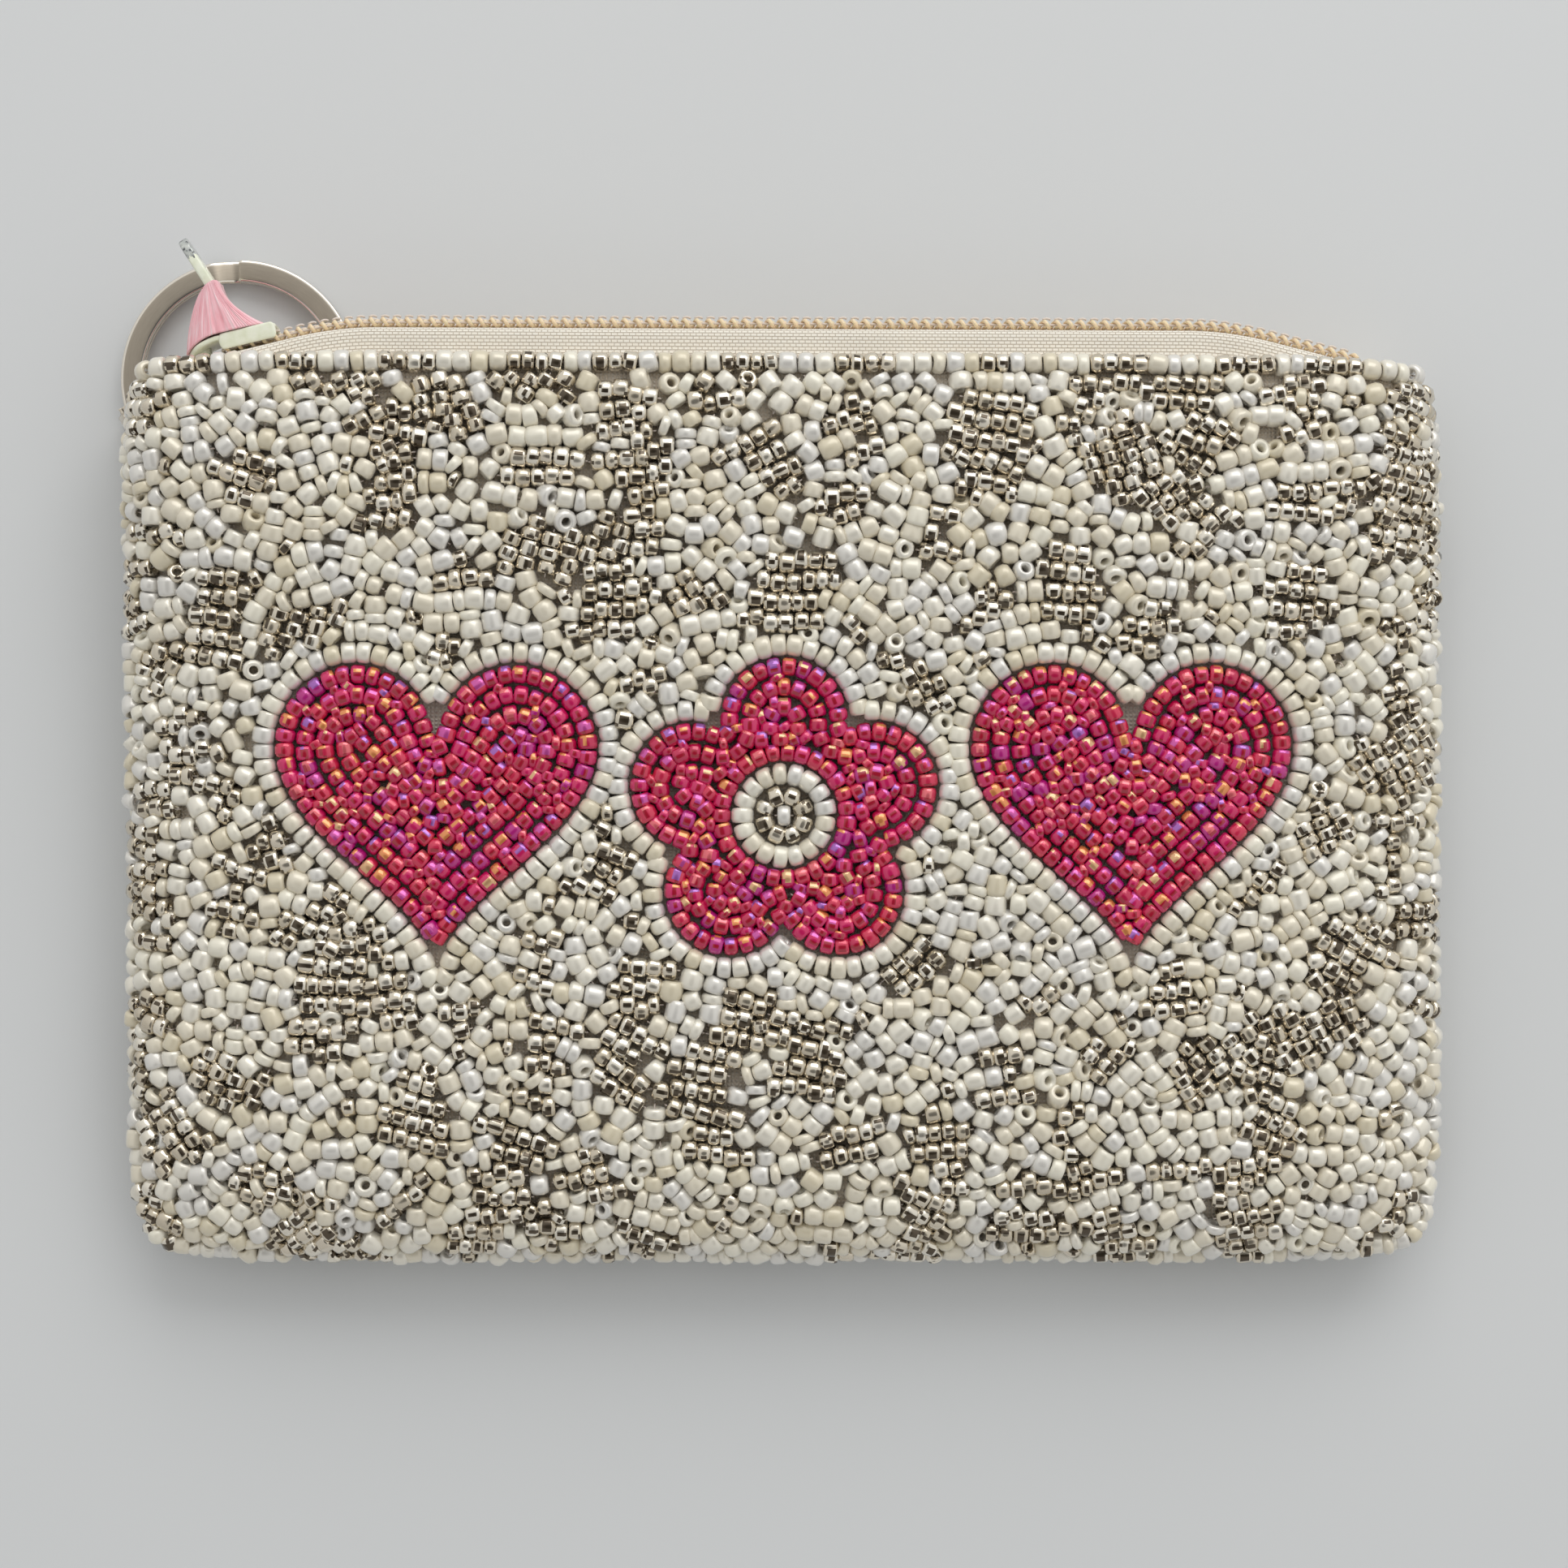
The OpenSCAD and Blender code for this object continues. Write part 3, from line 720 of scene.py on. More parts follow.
def ring_quads(rings, segments, close_rings):
    """Quads of a tube of rings of points."""
    count = rings if close_rings else rings - 1
    i, j = np.meshgrid(np.arange(count), np.arange(segments), indexing="ij")
    i2, j2 = (i + 1) % rings, (j + 1) % segments
    quads = [i * segments + j, i * segments + j2, i2 * segments + j2, i2 * segments + j]
    return np.stack(quads, -1).reshape(-1, 4)


ROUND_BEAD = [(-0.90, 0.40), (-1.00, 0.58), (-0.84, 0.83), (-0.40, 0.985), (0.40, 0.985), (0.84, 0.83),
              (1.00, 0.58), (0.90, 0.40), (0.0, 0.36)]
SQUARE_BEAD = [(-0.94, 0.44), (-1.00, 0.66), (-0.90, 0.93), (-0.55, 1.00), (0.55, 1.00), (0.90, 0.93),
               (1.00, 0.66), (0.94, 0.44), (0.0, 0.38)]


def bead_template(profile, segments):
    """A bead of unit size about X, as rings of points from its profile's distances along and out."""
    a = np.linspace(0, 2 * np.pi, segments, endpoint=False)
    rows = [np.stack([np.full(segments, x), r * np.cos(a), r * np.sin(a)], -1) for x, r in profile]
    return np.concatenate(rows)


def bead_meshes(centre, axis, normal, half, radius, rng, segments, pits):
    """Vertices and quads of many seed beads, no two quite alike. pits is how uneven their surface is."""
    n = len(centre)
    square = rng.uniform(0, 1, n)[:, None, None]
    form = (1 - square) * bead_template(ROUND_BEAD, segments) + square * bead_template(SQUARE_BEAD, segments)
    spin = rng.uniform(0, 2 * np.pi, n)
    c, s = np.cos(spin)[:, None], np.sin(spin)[:, None]
    y, z = form[..., 1] * c - form[..., 2] * s, form[..., 1] * s + form[..., 2] * c
    flat = rng.normal(0, 0.035, n)[:, None]
    cut = rng.normal(0, 0.07, (n, 2))
    x = form[..., 0] + form[..., 0] * (cut[:, :1] * y + cut[:, 1:] * z)
    uneven = 1 + rng.normal(0, pits, y.shape)
    y, z = y * uneven, z * uneven
    across = np.cross(normal, axis)
    verts = centre[:, None] + (x * half[:, None])[..., None] * axis[:, None]
    verts = verts + (y * (1 + flat) * radius[:, None])[..., None] * across[:, None]
    verts = verts + (z * (1 - flat) * radius[:, None])[..., None] * normal[:, None]
    quads = ring_quads(len(ROUND_BEAD), segments, True)
    faces = quads[None] + (np.arange(n) * len(ROUND_BEAD) * segments)[:, None, None]
    return verts.reshape(-1, 3), faces.reshape(-1, 4)


def face_looks(kind, verts, faces, centre, rng):
    """Which of a kind's materials each face takes: its bead's tone, pits, and patches of painted glint, dark
    reflection and shade by which way it faces.
    """
    n = len(centre)
    each = len(faces) // n
    mid = verts[faces].mean(1).reshape(n, each, 3) - centre[:, None]
    face = unit(mid)
    if kind == PEARL:
        tone = np.repeat(rng.choice(5, n, p=[0.3, 0.26, 0.22, 0.12, 0.1])[:, None], each, 1)
        return tone.ravel()
    if kind == SILVER:
        look = np.repeat(rng.integers(0, 3, n)[:, None], each, 1)
        # faces turned up towards the camera take the dark material as a painted dark reflection of the
        # overhead, and random faces take it as pits
        dark = dot(face, unit(np.array([0.1, -0.3, 0.95]))) + rng.normal(0, 0.08, (n, each))
        pits_and_painted_reflection = (dark > 0.97 + rng.normal(0, 0.02, (n, 1))) | (rng.random((n, each)) < 0.09)
        return np.where(pits_and_painted_reflection, 3, look).ravel()
    core = rng.choice(4, n, p=[0.36, 0.26, 0.24, 0.14])[:, None]
    # faces turned towards the window take one of five painted glints
    painted_glint = 4 + rng.choice(5, n, p=[0.28, 0.22, 0.2, 0.15, 0.15])[:, None]
    lean = unit(np.array([0.0, 0.62, 0.78]) + rng.normal(0, 0.2, (n, 1, 3)))
    facing_window = dot(face, lean) + rng.normal(0, 0.06, (n, each))
    look = np.where(facing_window > rng.uniform(0.8, 0.97, (n, 1)), painted_glint, core)
    # faces turned up towards the camera take a painted dark reflection of the overhead
    low = dot(face, unit(np.array([0.0, -0.25, 0.95]))) + rng.normal(0, 0.04, (n, each))
    look = np.where((low > 0.95) & (look < 4), 9, look)
    # faces turned sideways take painted shade at the bead's rim
    rim = face[..., 2] < rng.uniform(0.1, 0.45, (n, 1))
    return np.where(rim, 10, look).ravel()


def posed_beads(beads, rng):
    """Centre, axis and normal of each bead, a little uneven in height and tilt as sewn beads are."""
    place = Place(beads.side, beads.ab)
    n = len(beads.ab)
    axis, normal = place.axis(beads.heading), place.n
    tilt = rng.normal(0, np.where(beads.kind == PEARL, 0.10, 0.05))
    up_hole = (beads.kind != PINK) & (beads.strand < 0) & (rng.random(n) < 0.16)
    tilt = np.where(up_hole, rng.uniform(0.6, 1.25, n), tilt)[:, None]
    axis, normal = np.cos(tilt) * axis + np.sin(tilt) * normal, np.cos(tilt) * normal - np.sin(tilt) * axis
    height = np.clip(rng.normal(0, np.where(beads.kind == PEARL, 0.11, 0.07)), -0.25, 0.2)
    centre = place.p + height[:, None] * place.n
    if beads.side == BACK:
        lean = np.abs(axis[:, 2])
        reach_down = (lean * beads.half + np.sqrt(1 - np.minimum(lean, 1) ** 2) * beads.radius) * 1.05
        centre[:, 2] = np.maximum(centre[:, 2], reach_down + rest_z(centre[:, 0], centre[:, 1]))
    return centre, axis, normal


# ---- materials ----
def srgb(colour):
    """A colour given as it looks on a screen, from 0 to 255, in linear light."""
    return (*(((c / 255 + 0.055) / 1.055) ** 2.4 for c in colour), 1)


def principled(name, colour, **inputs):
    """A material with one Principled node. Inputs are named by their sockets, with _ for a space."""
    material = bpy.data.materials.new(name)
    material.use_nodes = True
    shader = material.node_tree.nodes["Principled BSDF"]
    shader.inputs["Base Color"].default_value = srgb(colour)
    for key, value in inputs.items():
        shader.inputs[key.replace("_", " ")].default_value = value
    return material


def tones(prefix, colours, **inputs):
    """A material for each colour. An input given as a list has a value for each of them."""
    return [principled(f"{prefix}_{k}", colour, **{name: value[k] if isinstance(value, list) else value
                                                   for name, value in inputs.items()})
            for k, colour in enumerate(colours)]


def pearl_materials():
    creams = [(238, 233, 220), (230, 222, 203), (230, 227, 221), (240, 235, 219), (223, 213, 188)]
    return tones("pearl_bead", creams, Metallic=[0.25, 0.15, 0.3, 0.1, 0.1], Roughness=0.3, Coat_Weight=0.8,
                 Coat_Roughness=0.05, Sheen_Weight=0.3, Sheen_Roughness=0.4)


def silver_materials():
    """Three bright tones, and one dark for the pits and for the painted dark reflection of the overhead."""
    greys = [(226, 216, 198), (211, 200, 180), (238, 231, 217)]
    return [*tones("silver_bead", greys, Roughness=[0.12, 0.18, 0.22], Metallic=0.85, Coat_Weight=0.6),
            principled("silver_bead_pits_and_painted_reflection", (86, 74, 58), Metallic=0.75, Roughness=0.22, Coat_Weight=0.6)]


def pink_materials():
    """Four cores, five painted glints in the rainbow coat's colours, a painted dark reflection for the middle
    and painted shade for the rim.
    """
    coat = {"Coat_Weight": 1.0, "Coat_Roughness": 0.03}
    cores = [(214, 24, 100), (198, 16, 78), (216, 40, 82), (190, 30, 132)]
    painted_glints = [(236, 150, 88), (214, 84, 170), (238, 110, 120), (226, 178, 130), (170, 100, 190)]
    return [*tones("pink_bead", cores, Roughness=0.18, Metallic=0.2, **coat),
            *tones("pink_bead_painted_glint", painted_glints, Roughness=0.16, Metallic=0.45, **coat),
            principled("pink_bead_painted_dark_reflection", (168, 8, 44), Roughness=0.15, **coat),
            principled("pink_bead_painted_rim_shade", (150, 52, 82), Roughness=0.15, **coat)]


class Paint:
    """Adds procedural nodes to a material. Patterns lie by the piece's weave coordinates, in millimetres."""

    def __init__(self, material):
        self.nodes, self.links = material.node_tree.nodes, material.node_tree.links
        self.shader = self.nodes["Principled BSDF"]
        self.at = self.nodes.new("ShaderNodeAttribute")
        self.at.attribute_name = "weave"

    def along(self, axis):
        """One of the weave coordinates."""
        split = self.nodes.new("ShaderNodeSeparateXYZ")
        self.links.new(self.at.outputs["Vector"], split.inputs[0])
        return split.outputs[axis]

    def pattern(self, kind, scale, **inputs):
        """A texture node at its own scale along each weave coordinate."""
        place = self.nodes.new("ShaderNodeMapping")
        place.inputs["Scale"].default_value = scale
        self.links.new(self.at.outputs["Vector"], place.inputs["Vector"])
        node = self.nodes.new(kind)
        for name, value in {"Scale": 1.0, **inputs}.items():
            node.inputs[name.replace("_", " ")].default_value = value
        self.links.new(place.outputs[0], node.inputs["Vector"])
        return node

    def noise(self, scale, detail=3):
        return self.pattern("ShaderNodeTexNoise", scale, Detail=detail).outputs["Fac"]

    def wave(self, scale, direction):
        node = self.pattern("ShaderNodeTexWave", scale)
        node.bands_direction = direction
        return node.outputs["Fac"]

    def brick(self, scale):
        greys = {"Color1": (1, 1, 1, 1), "Color2": (0.85, 0.85, 0.85, 1), "Mortar": (0, 0, 0, 1)}
        node = self.pattern("ShaderNodeTexBrick", scale, Mortar_Size=0.035, Mortar_Smooth=0.6, **greys)
        return node.outputs["Color"]

    def math(self, kind, a, b):
        node = self.nodes.new("ShaderNodeMath")
        node.operation = kind
        for socket, value in zip(node.inputs, (a, b)):
            if isinstance(value, (int, float)):
                socket.default_value = value
            else:
                self.links.new(value, socket)
        return node.outputs[0]

    def blend(self, a, share_a, b, share_b):
        """The sum of two values, each in its share."""
        return self.math("ADD", self.math("MULTIPLY", a, share_a), self.math("MULTIPLY", b, share_b))

    def ramp(self, factor, *stops):
        node = self.nodes.new("ShaderNodeValToRGB")
        ends = node.color_ramp.elements
        for end, (position, colour) in zip(ends, (stops[0], stops[-1])):
            end.position, end.color = position, srgb(colour)
        for position, colour in stops[1:-1]:
            ends.new(position).color = srgb(colour)
        self.links.new(factor, node.inputs["Fac"])
        return node.outputs["Color"]

    def set(self, name, value):
        self.links.new(value, self.shader.inputs[name])

    def bump(self, height, depth):
        node = self.nodes.new("ShaderNodeBump")
        node.inputs["Distance"].default_value = depth * MM
        self.links.new(height, node.inputs["Height"])
        self.set("Normal", node.outputs[0])


def cloth_material(name, dark, light, thread):
    """A plain weave whose threads are thread millimetres apart."""
    material = principled(name, light, Roughness=0.8)
    paint = Paint(material)
    k = math.pi / 10 / thread
    weave = paint.math("MULTIPLY", paint.wave((k, k, k), "X"), paint.wave((k, k, k), "Y"))
    uneven = paint.math("MULTIPLY", paint.noise((0.5, 0.5, 1)), 0.5)
    paint.set("Base Color", paint.ramp(paint.math("ADD", weave, uneven), (0.1, dark), (0.9, light)))
    paint.bump(weave, 0.12)
    return material


def tape_material():
    """The zip tape: rows of short raised threads, each row shifted by half a thread."""
    thread_length, row_width = 0.62, 0.36
    material = principled("tape_weave", (232, 222, 206), Roughness=0.7, Sheen_Weight=0.3)
    paint = Paint(material)
    rib = paint.brick((0.5 / thread_length, 0.25 / row_width, 1.0))
    tone = paint.blend(rib, 0.7, paint.noise((3.0, 9.0, 1), 4), 0.5)
    paint.set("Base Color", paint.ramp(tone, (0.15, (224, 209, 187)), (0.6, (248, 237, 219)),
                                       (1.0, (253, 248, 237))))
    paint.bump(rib, 0.16)
    return material


def satin_material(name, streak_shade, base, light, streak):
    """Satin with painted sheen and shade in fine streaks along its second weave direction."""
    material = principled(name, base, Roughness=0.27, Sheen_Weight=0.3, Specular_IOR_Level=0.9,
                          Coat_Weight=0.3)
    paint = Paint(material)
    sheen_streaks = paint.noise((streak, 0.35, 1), 3)
    # the darker and lighter streaks are painted shade and sheen of fine gathers
    paint.set("Base Color", paint.ramp(sheen_streaks, (0.25, streak_shade), (0.5, base), (0.75, light)))
    paint.bump(sheen_streaks, 0.05)
    return material


UNWORN = 60.0           # further along than any enamelled piece reaches


def enamel_material(name, worn_from):
    """Pale enamel. Beyond worn_from, in millimetres along the piece, it is rubbed down to grey metal."""
    material = principled(name, (220, 222, 202), Roughness=0.36, Coat_Weight=0.5, Coat_Roughness=0.15)
    paint = Paint(material)
    soil = paint.ramp(paint.noise((0.9, 0.9, 0.9), 5),
                      (0.3, (230, 234, 208)), (0.55, (242, 245, 225)), (0.8, (249, 250, 238)))
    chips = paint.ramp(paint.noise((2.2, 2.2, 2.2), 5),
                       (0.36, (88, 90, 92)), (0.44, (176, 180, 178)), (0.7, (216, 219, 213)))
    ragged = paint.math("MULTIPLY", paint.noise((1.6, 1.6, 1.6), 4), 2.4)
    worn = paint.math("GREATER_THAN", paint.math("ADD", paint.along("X"), ragged), worn_from + 1.2)
    mix = paint.nodes.new("ShaderNodeMix")
    mix.data_type = "RGBA"
    for socket, value in (("Factor", worn), (6, soil), (7, chips)):
        paint.links.new(value, mix.inputs[socket])
    paint.set("Base Color", mix.outputs[2])
    paint.set("Metallic", paint.math("MULTIPLY", worn, 0.5))
    paint.bump(worn, -0.05)
    return material


def nickel_material():
    """Nickel with a fine brushed grain on its faces, and polished edges whose colour is also painted lighter
    as a highlight.
    """
    highlight_and_polish_width = 0.3
    material = principled("ring_nickel", (172, 162, 149), Metallic=1.0, Roughness=0.34)
    paint = Paint(material)
    off = paint.math("ABSOLUTE", paint.math("SUBTRACT", paint.along("Y"), RING_MID), 0.0)
    polished_and_highlit_edge = paint.math("GREATER_THAN", off, STOCK / 2 - highlight_and_polish_width)
    grain = paint.noise((0.8, 24.0, 24.0), 2)
    face = paint.math("ADD", paint.math("MULTIPLY", grain, 0.14), 0.28)
    paint.set("Roughness", paint.math("SUBTRACT", face, paint.math("MULTIPLY", polished_and_highlit_edge, 0.24)))
    # the polished edges are also painted lighter, as a highlight on the bevels
    tone = paint.blend(grain, 0.4, polished_and_highlit_edge, 0.6)
    paint.set("Base Color", paint.ramp(tone, (0.1, (180, 169, 154)), (0.35, (197, 187, 172)),
                                       (0.8, (236, 229, 218))))
    return material


def follow_mouth(piece):
    """Bakes a front piece's place into its mesh, where it stays."""
    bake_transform(piece)


def fit(piece, body, node):
    """Has a piece ride a body, or keep its baked place for the front panel, in place of a CAD node."""
    if body == "pouch_front":
        follow_mouth(piece)
    else:
        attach(piece, body)
    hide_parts(node)


BODY = {FRONT: "pouch_front", BACK: "pouch_back"}
SIDE_NAME = {FRONT: "front", BACK: "back"}


# ---- beads ----
BEADS_A_PIECE = 700
SEGMENTS = {FRONT: 14, BACK: 10}
PITS = {PEARL: 0.008, SILVER: 0.03, PINK: 0.012}


def bead_pieces(beads, looks, seed):
    """Makes the beads' meshes: the motifs by name, and the field in zones along X."""
    rng = np.random.default_rng(seed)
    centre, axis, normal = posed_beads(beads, rng)
    side, name = beads.side, SIDE_NAME[beads.side]
    motif = np.full(len(centre), -1)
    for k, (x, _, _) in enumerate(MOTIFS):
        motif[(beads.kind == PINK) & (np.abs(centre[:, 0] - x) < MOTIF_PITCH / 2)] = k

    def piece(label, pick, kind, node, slot):
        segments = SEGMENTS[side] + (2 if kind != PEARL and side == FRONT else 0)
        verts, faces = bead_meshes(centre[pick], axis[pick], normal[pick], beads.half[pick],
                                   beads.radius[pick], rng, segments, PITS[kind])
        obj = mesh_object(label, verts, faces, slots=face_looks(kind, verts, faces, centre[pick], rng))
        for material in looks[kind]:
            obj.data.materials.append(material)
        fit(obj, BODY[side], node)

    if side == FRONT:
        for k, label in enumerate(("left_heart", "flower", "right_heart")):
            piece(f"{label}_beads", np.flatnonzero(motif == k), PINK, f"{label}_beadwork", "pink_beads")
    for kind, label in ((PEARL, "pearls"), (SILVER, "silver_beads")):
        pick = np.flatnonzero(beads.kind == kind)
        pick = pick[np.argsort(centre[pick, 0])]
        for k, zone in enumerate(np.array_split(pick, math.ceil(len(pick) / BEADS_A_PIECE))):
            piece(f"{name}_{label}_{k + 1}", zone, kind, f"{name}_beadwork", "pearl_beads")


# ---- cloth inside the body ----
def panel_cloth(name, side, inset, thick, top, cells, wrinkle, material):
    """A sheet that follows a panel from inside. wrinkle is how far it may hang off that surface."""
    edge = math.pi / 2 - 0.05
    a, b = np.linspace(-edge, edge, cells[0]), np.linspace(-edge, edge, cells[1])
    s, t = np.meshgrid(np.sin(a), np.sin(b), indexing="ij")
    slack = wrinkle * (0.5 + 0.5 * np.sin(9 * s + 3 * np.cos(5 * t)) * np.sin(4 * t + 2 * np.sin(6 * s)))
    slack *= (1 - np.abs(s) ** 4) * (1 - np.abs(t) ** 4)
    outer, inner = (shell(side, s, t, depth, top, depth + 0.1) for depth in (inset, inset + thick))
    for layer in (outer, inner):
        layer[..., 2] -= side * slack
    form = Form()
    cloth_shell(form, outer, inner, outer[..., 0], outer[..., 1])
    return form.make(name, [material])


# ---- zip ----
COIL_TOP, COIL_H, COIL_PITCH = 50.4, 1.2, 1.24
COIL_FROM, COIL_TO = -58.2, 60.0
TAPE_REACH = math.radians(86)       # the angle at which the tape's ends meet the side seams
TAPE_THICK = 0.32
TAPE_SPLIT = -57.6                  # left of here, where the slider parts the coils, the tapes stand apart
BOW_FROM, BOW_TO, BOW = 41.5, 50.0, 0.0146
ZIP_ROLL = math.atan(LIFT_SLOPE)


def coil_y(x):
    """Height of the zip's line, which bows down towards both ends."""
    a = np.abs(x)
    bend = BOW * np.maximum(0, np.minimum(a, BOW_TO) - BOW_FROM) ** 2
    return COIL_TOP - bend - 2 * BOW * (BOW_TO - BOW_FROM) * np.maximum(0, a - BOW_TO)


def zip_z(x):
    """Height of the lifted seam plane at the zip."""
    return SEAM_Z + LIFT_SLOPE * (LIFT_END - x)


def on_zip(p):
    """Points given round the zip's own plane, moved into the lifted seam plane."""
    c, s = math.cos(ZIP_ROLL), math.sin(ZIP_ROLL)
    x, y, z = p[..., 0], p[..., 1], p[..., 2]
    return np.stack([c * x + s * z, y, zip_z(0) - s * x + c * z], -1)


def along_path(points, count):
    """Evenly spaced points along each row of a grid of points, with corners eased."""
    step = np.linalg.norm(np.diff(points, axis=1), axis=2)
    along = np.concatenate([np.zeros((len(points), 1)), np.cumsum(step, 1)], 1)
    at = np.linspace(0, 1, count)
    rows = np.stack([np.stack([np.interp(at * row[-1], row, p[:, i]) for i in range(3)], -1)
                     for row, p in zip(along, points)])
    for _ in range(3):
        rows[:, 1:-1] = (rows[:, :-2] + 2 * rows[:, 1:-1] + rows[:, 2:]) / 4
    return rows, at[None] * along[:, -1:]


def zip_tape(side):
    """One side's tape, from the coil over the mouth's edge and down inside the panel."""
    s = np.sin(np.linspace(-TAPE_REACH, TAPE_REACH, 320))
    layers = []
    for lower in (0.0, TAPE_THICK):
        inset = TAPE_IN + lower
        rim = shell(side, s, 1.0, inset)
        x = shell(side, s, 1.0, TAPE_IN)[:, 0]
        y, z = coil_y(x) - COIL_H / 2 - 0.04 - lower, zip_z(x)
        rise = np.abs(rim[:, 2] - z)
        bend = np.minimum(np.maximum(2.65, rise - 0.15), rise)
        edge = np.minimum(np.where(x < TAPE_SPLIT, 1.25, 0.3), np.maximum(0.12, rise - 1.4))
        rows = [np.stack([x, y, z + side * edge], -1),
                np.stack([x, y, z + side * np.minimum(2.0, 0.8 * rise)], -1),
                np.stack([x, y - 0.2, z + side * bend], -1)]
        rows += [shell(side, s, math.sin(math.radians(90 - 11.25 * j)), inset) for j in range(4)]
        layers.append(along_path(np.stack(rows, 1), 44))
    form = Form()
    (outer, v), (inner, _) = layers
    cloth_shell(form, outer, inner, outer[..., 0], v)
    piece = form.make(f"{SIDE_NAME[side]}_zip_tape_weave", [looks["tape"]])
    fit(piece, BODY[side], f"{SIDE_NAME[side]}_zip_tape")


def zip_coil(side):
    """One side's coil: a monofilament wound round a cord, with the row of stitches that holds it."""
    start, wire, cord, thread = COIL_FROM + 0.4, 0.22, 0.14, 0.13
    turns = (COIL_TO - COIL_FROM - 1.0) / COIL_PITCH
    form = Form()

    def along_coil(x, height, depth, radius, sides, slot):
        depth = np.broadcast_to(side * depth, x.shape)
        tube(form, on_zip(np.stack([x, coil_y(x) + height, depth], -1)), radius, sides, slot)

    a = np.linspace(0, 2 * np.pi * turns, int(turns * 14))
    shift = 0 if side == FRONT else COIL_PITCH / 2
    flat = np.cos(a)
    along_coil(start + shift + a / (2 * np.pi) * COIL_PITCH, 0.36 * np.sin(a),
               0.95 - 0.84 * np.sign(flat) * np.abs(flat) ** 0.8, wire, 6, 0)
    along_coil(np.linspace(start, COIL_TO - 0.8, 240), 0, 1.15, cord, 6, 1)
    stitch_rise = 0.52 + 0.14 * np.sin(np.linspace(0, np.pi, 5))
    for x in np.arange(COIL_FROM + 1, COIL_TO - 1.2, COIL_PITCH):
        along_coil(x + np.linspace(-0.42, 0.42, 5), stitch_rise, 1.3, thread, 5, 1)
    piece = form.make(f"{SIDE_NAME[side]}_zip_coil_wire", [looks["coil"], looks["thread"]])
    fit(piece, BODY[side], f"{SIDE_NAME[side]}_zip_coil")


# ---- stitches and threads ----
def stitch(form, a, b, radius, bulge):
    """A short stitch from a to b that stands up by bulge between its ends."""
    u = np.linspace(0, 1, 6)[:, None]
    taper = np.array([0.5, 0.9, 1, 1, 0.9, 0.5])
    tube(form, a * (1 - u) + b * u + [0, 0, bulge] * np.sin(np.pi * u), radius * taper, 6)


def zip_stitches(side):
    """The row of stitches through tape and lining, seen from inside the purse."""
    step, half = 0.042, 0.011
    form = Form()
    for k in range(-18, 19):
        a, b = shell(side, [step * k - half, step * k + half], 0.86, LINING_IN + 0.45, LINING_TOP)
        stitch(form, a, b, 0.15, -side * 0.05)
    piece = form.make(f"{SIDE_NAME[side]}_zip_stitches", [looks["thread"]])
    fit(piece, BODY[side], f"{SIDE_NAME[side]}_zip_stitching")


def seam_stitches():
    """Stitches round the three closed sides, in the gap between the panels' edges."""
    def at(s, t):
        p = shell(FRONT, s, t, 1.0, HALF_H - 1)
        p[2] = SEAM_Z + lift(p[0], p[1])
        return p

    thick = 0.17
    form = Form()
    for k in range(-14, 15):
        stitch(form, at(0.06 * k - 0.022, -1.0), at(0.06 * k + 0.022, -1.0), thick, 0.0)
    for side in (-1.0, 1.0):
        for k in range(-9, 10):
            stitch(form, at(side, 0.09 * k - 0.03), at(side, 0.09 * k + 0.03), thick, 0.0)
    fit(form.make("seam_stitches", [looks["thread"]]), "pouch_back", "seam_stitching")


THREAD_R = 0.09
LONGEST_THREAD = 3.6    # between two beads of a string, past which its thread would show


def bead_threads(beads):
    """The thread through each string of beads, which dives into the fabric past its end beads."""
    place = Place(beads.side, beads.ab)
    axis = place.axis(beads.heading)
    form = Form()
    strand = beads.strand
    starts = np.flatnonzero(np.concatenate([[True], strand[1:] != strand[:-1]]) & (strand >= 0))
    for i in starts:
        j = i
        while j + 1 < len(strand) and strand[j + 1] == strand[i]:
            j += 1
        p = place.p[i:j + 1]
        if len(p) > 1 and np.linalg.norm(np.diff(p, axis=0), axis=1).max() > LONGEST_THREAD:
            continue
        line = p[-1] - p[0]
        first, last = (p[end] + way * axis[k] * (beads.half[k] + 0.25) * np.sign(dot(axis[k], line) or 1)
                       for end, way, k in ((0, -1, i), (-1, 1, j)))
        tube(form, np.vstack([first - place.n[i], first, p, last, last - place.n[j]]), THREAD_R, 4)
    name = SIDE_NAME[beads.side]
    fit(form.make(f"{name}_bead_threads", [looks["thread"]]), BODY[beads.side], f"{name}_beadwork")


# ---- slider and pull ----
PIVOT = np.array([0.6, 2.65])
SLIDER_X = -56.5
SLIDER_TILT = math.atan(2 * BOW * (BOW_TO - BOW_FROM))
PULL_TURN = math.radians(122.7) - SLIDER_TILT
PLATE_TOP = 1.5
HALF_SLIDER = 4.7


def turned(p, angle):
    """Points turned about Z."""
    c, s = math.cos(angle), math.sin(angle)
    return np.stack([c * p[..., 0] - s * p[..., 1], s * p[..., 0] + c * p[..., 1], p[..., 2]], -1)


def on_slider(p):
    """Points given round the slider's middle, with its top along +Y, moved to where it stands on the zip."""
    return on_zip(turned(np.asarray(p, float), SLIDER_TILT) + [SLIDER_X, float(coil_y(SLIDER_X)), 0])


def on_pull(p):
    """Points given round the pull's pin, with the pull along +X, moved to where it rests."""
    return on_slider(turned(np.asarray(p, float), PULL_TURN) + [*PIVOT, 0])


def plate_top(x):
    """Height of the slider's top plate, which curves down at its nose."""
    return PLATE_TOP - 0.085 * np.maximum(0, -1.2 - x) ** 2


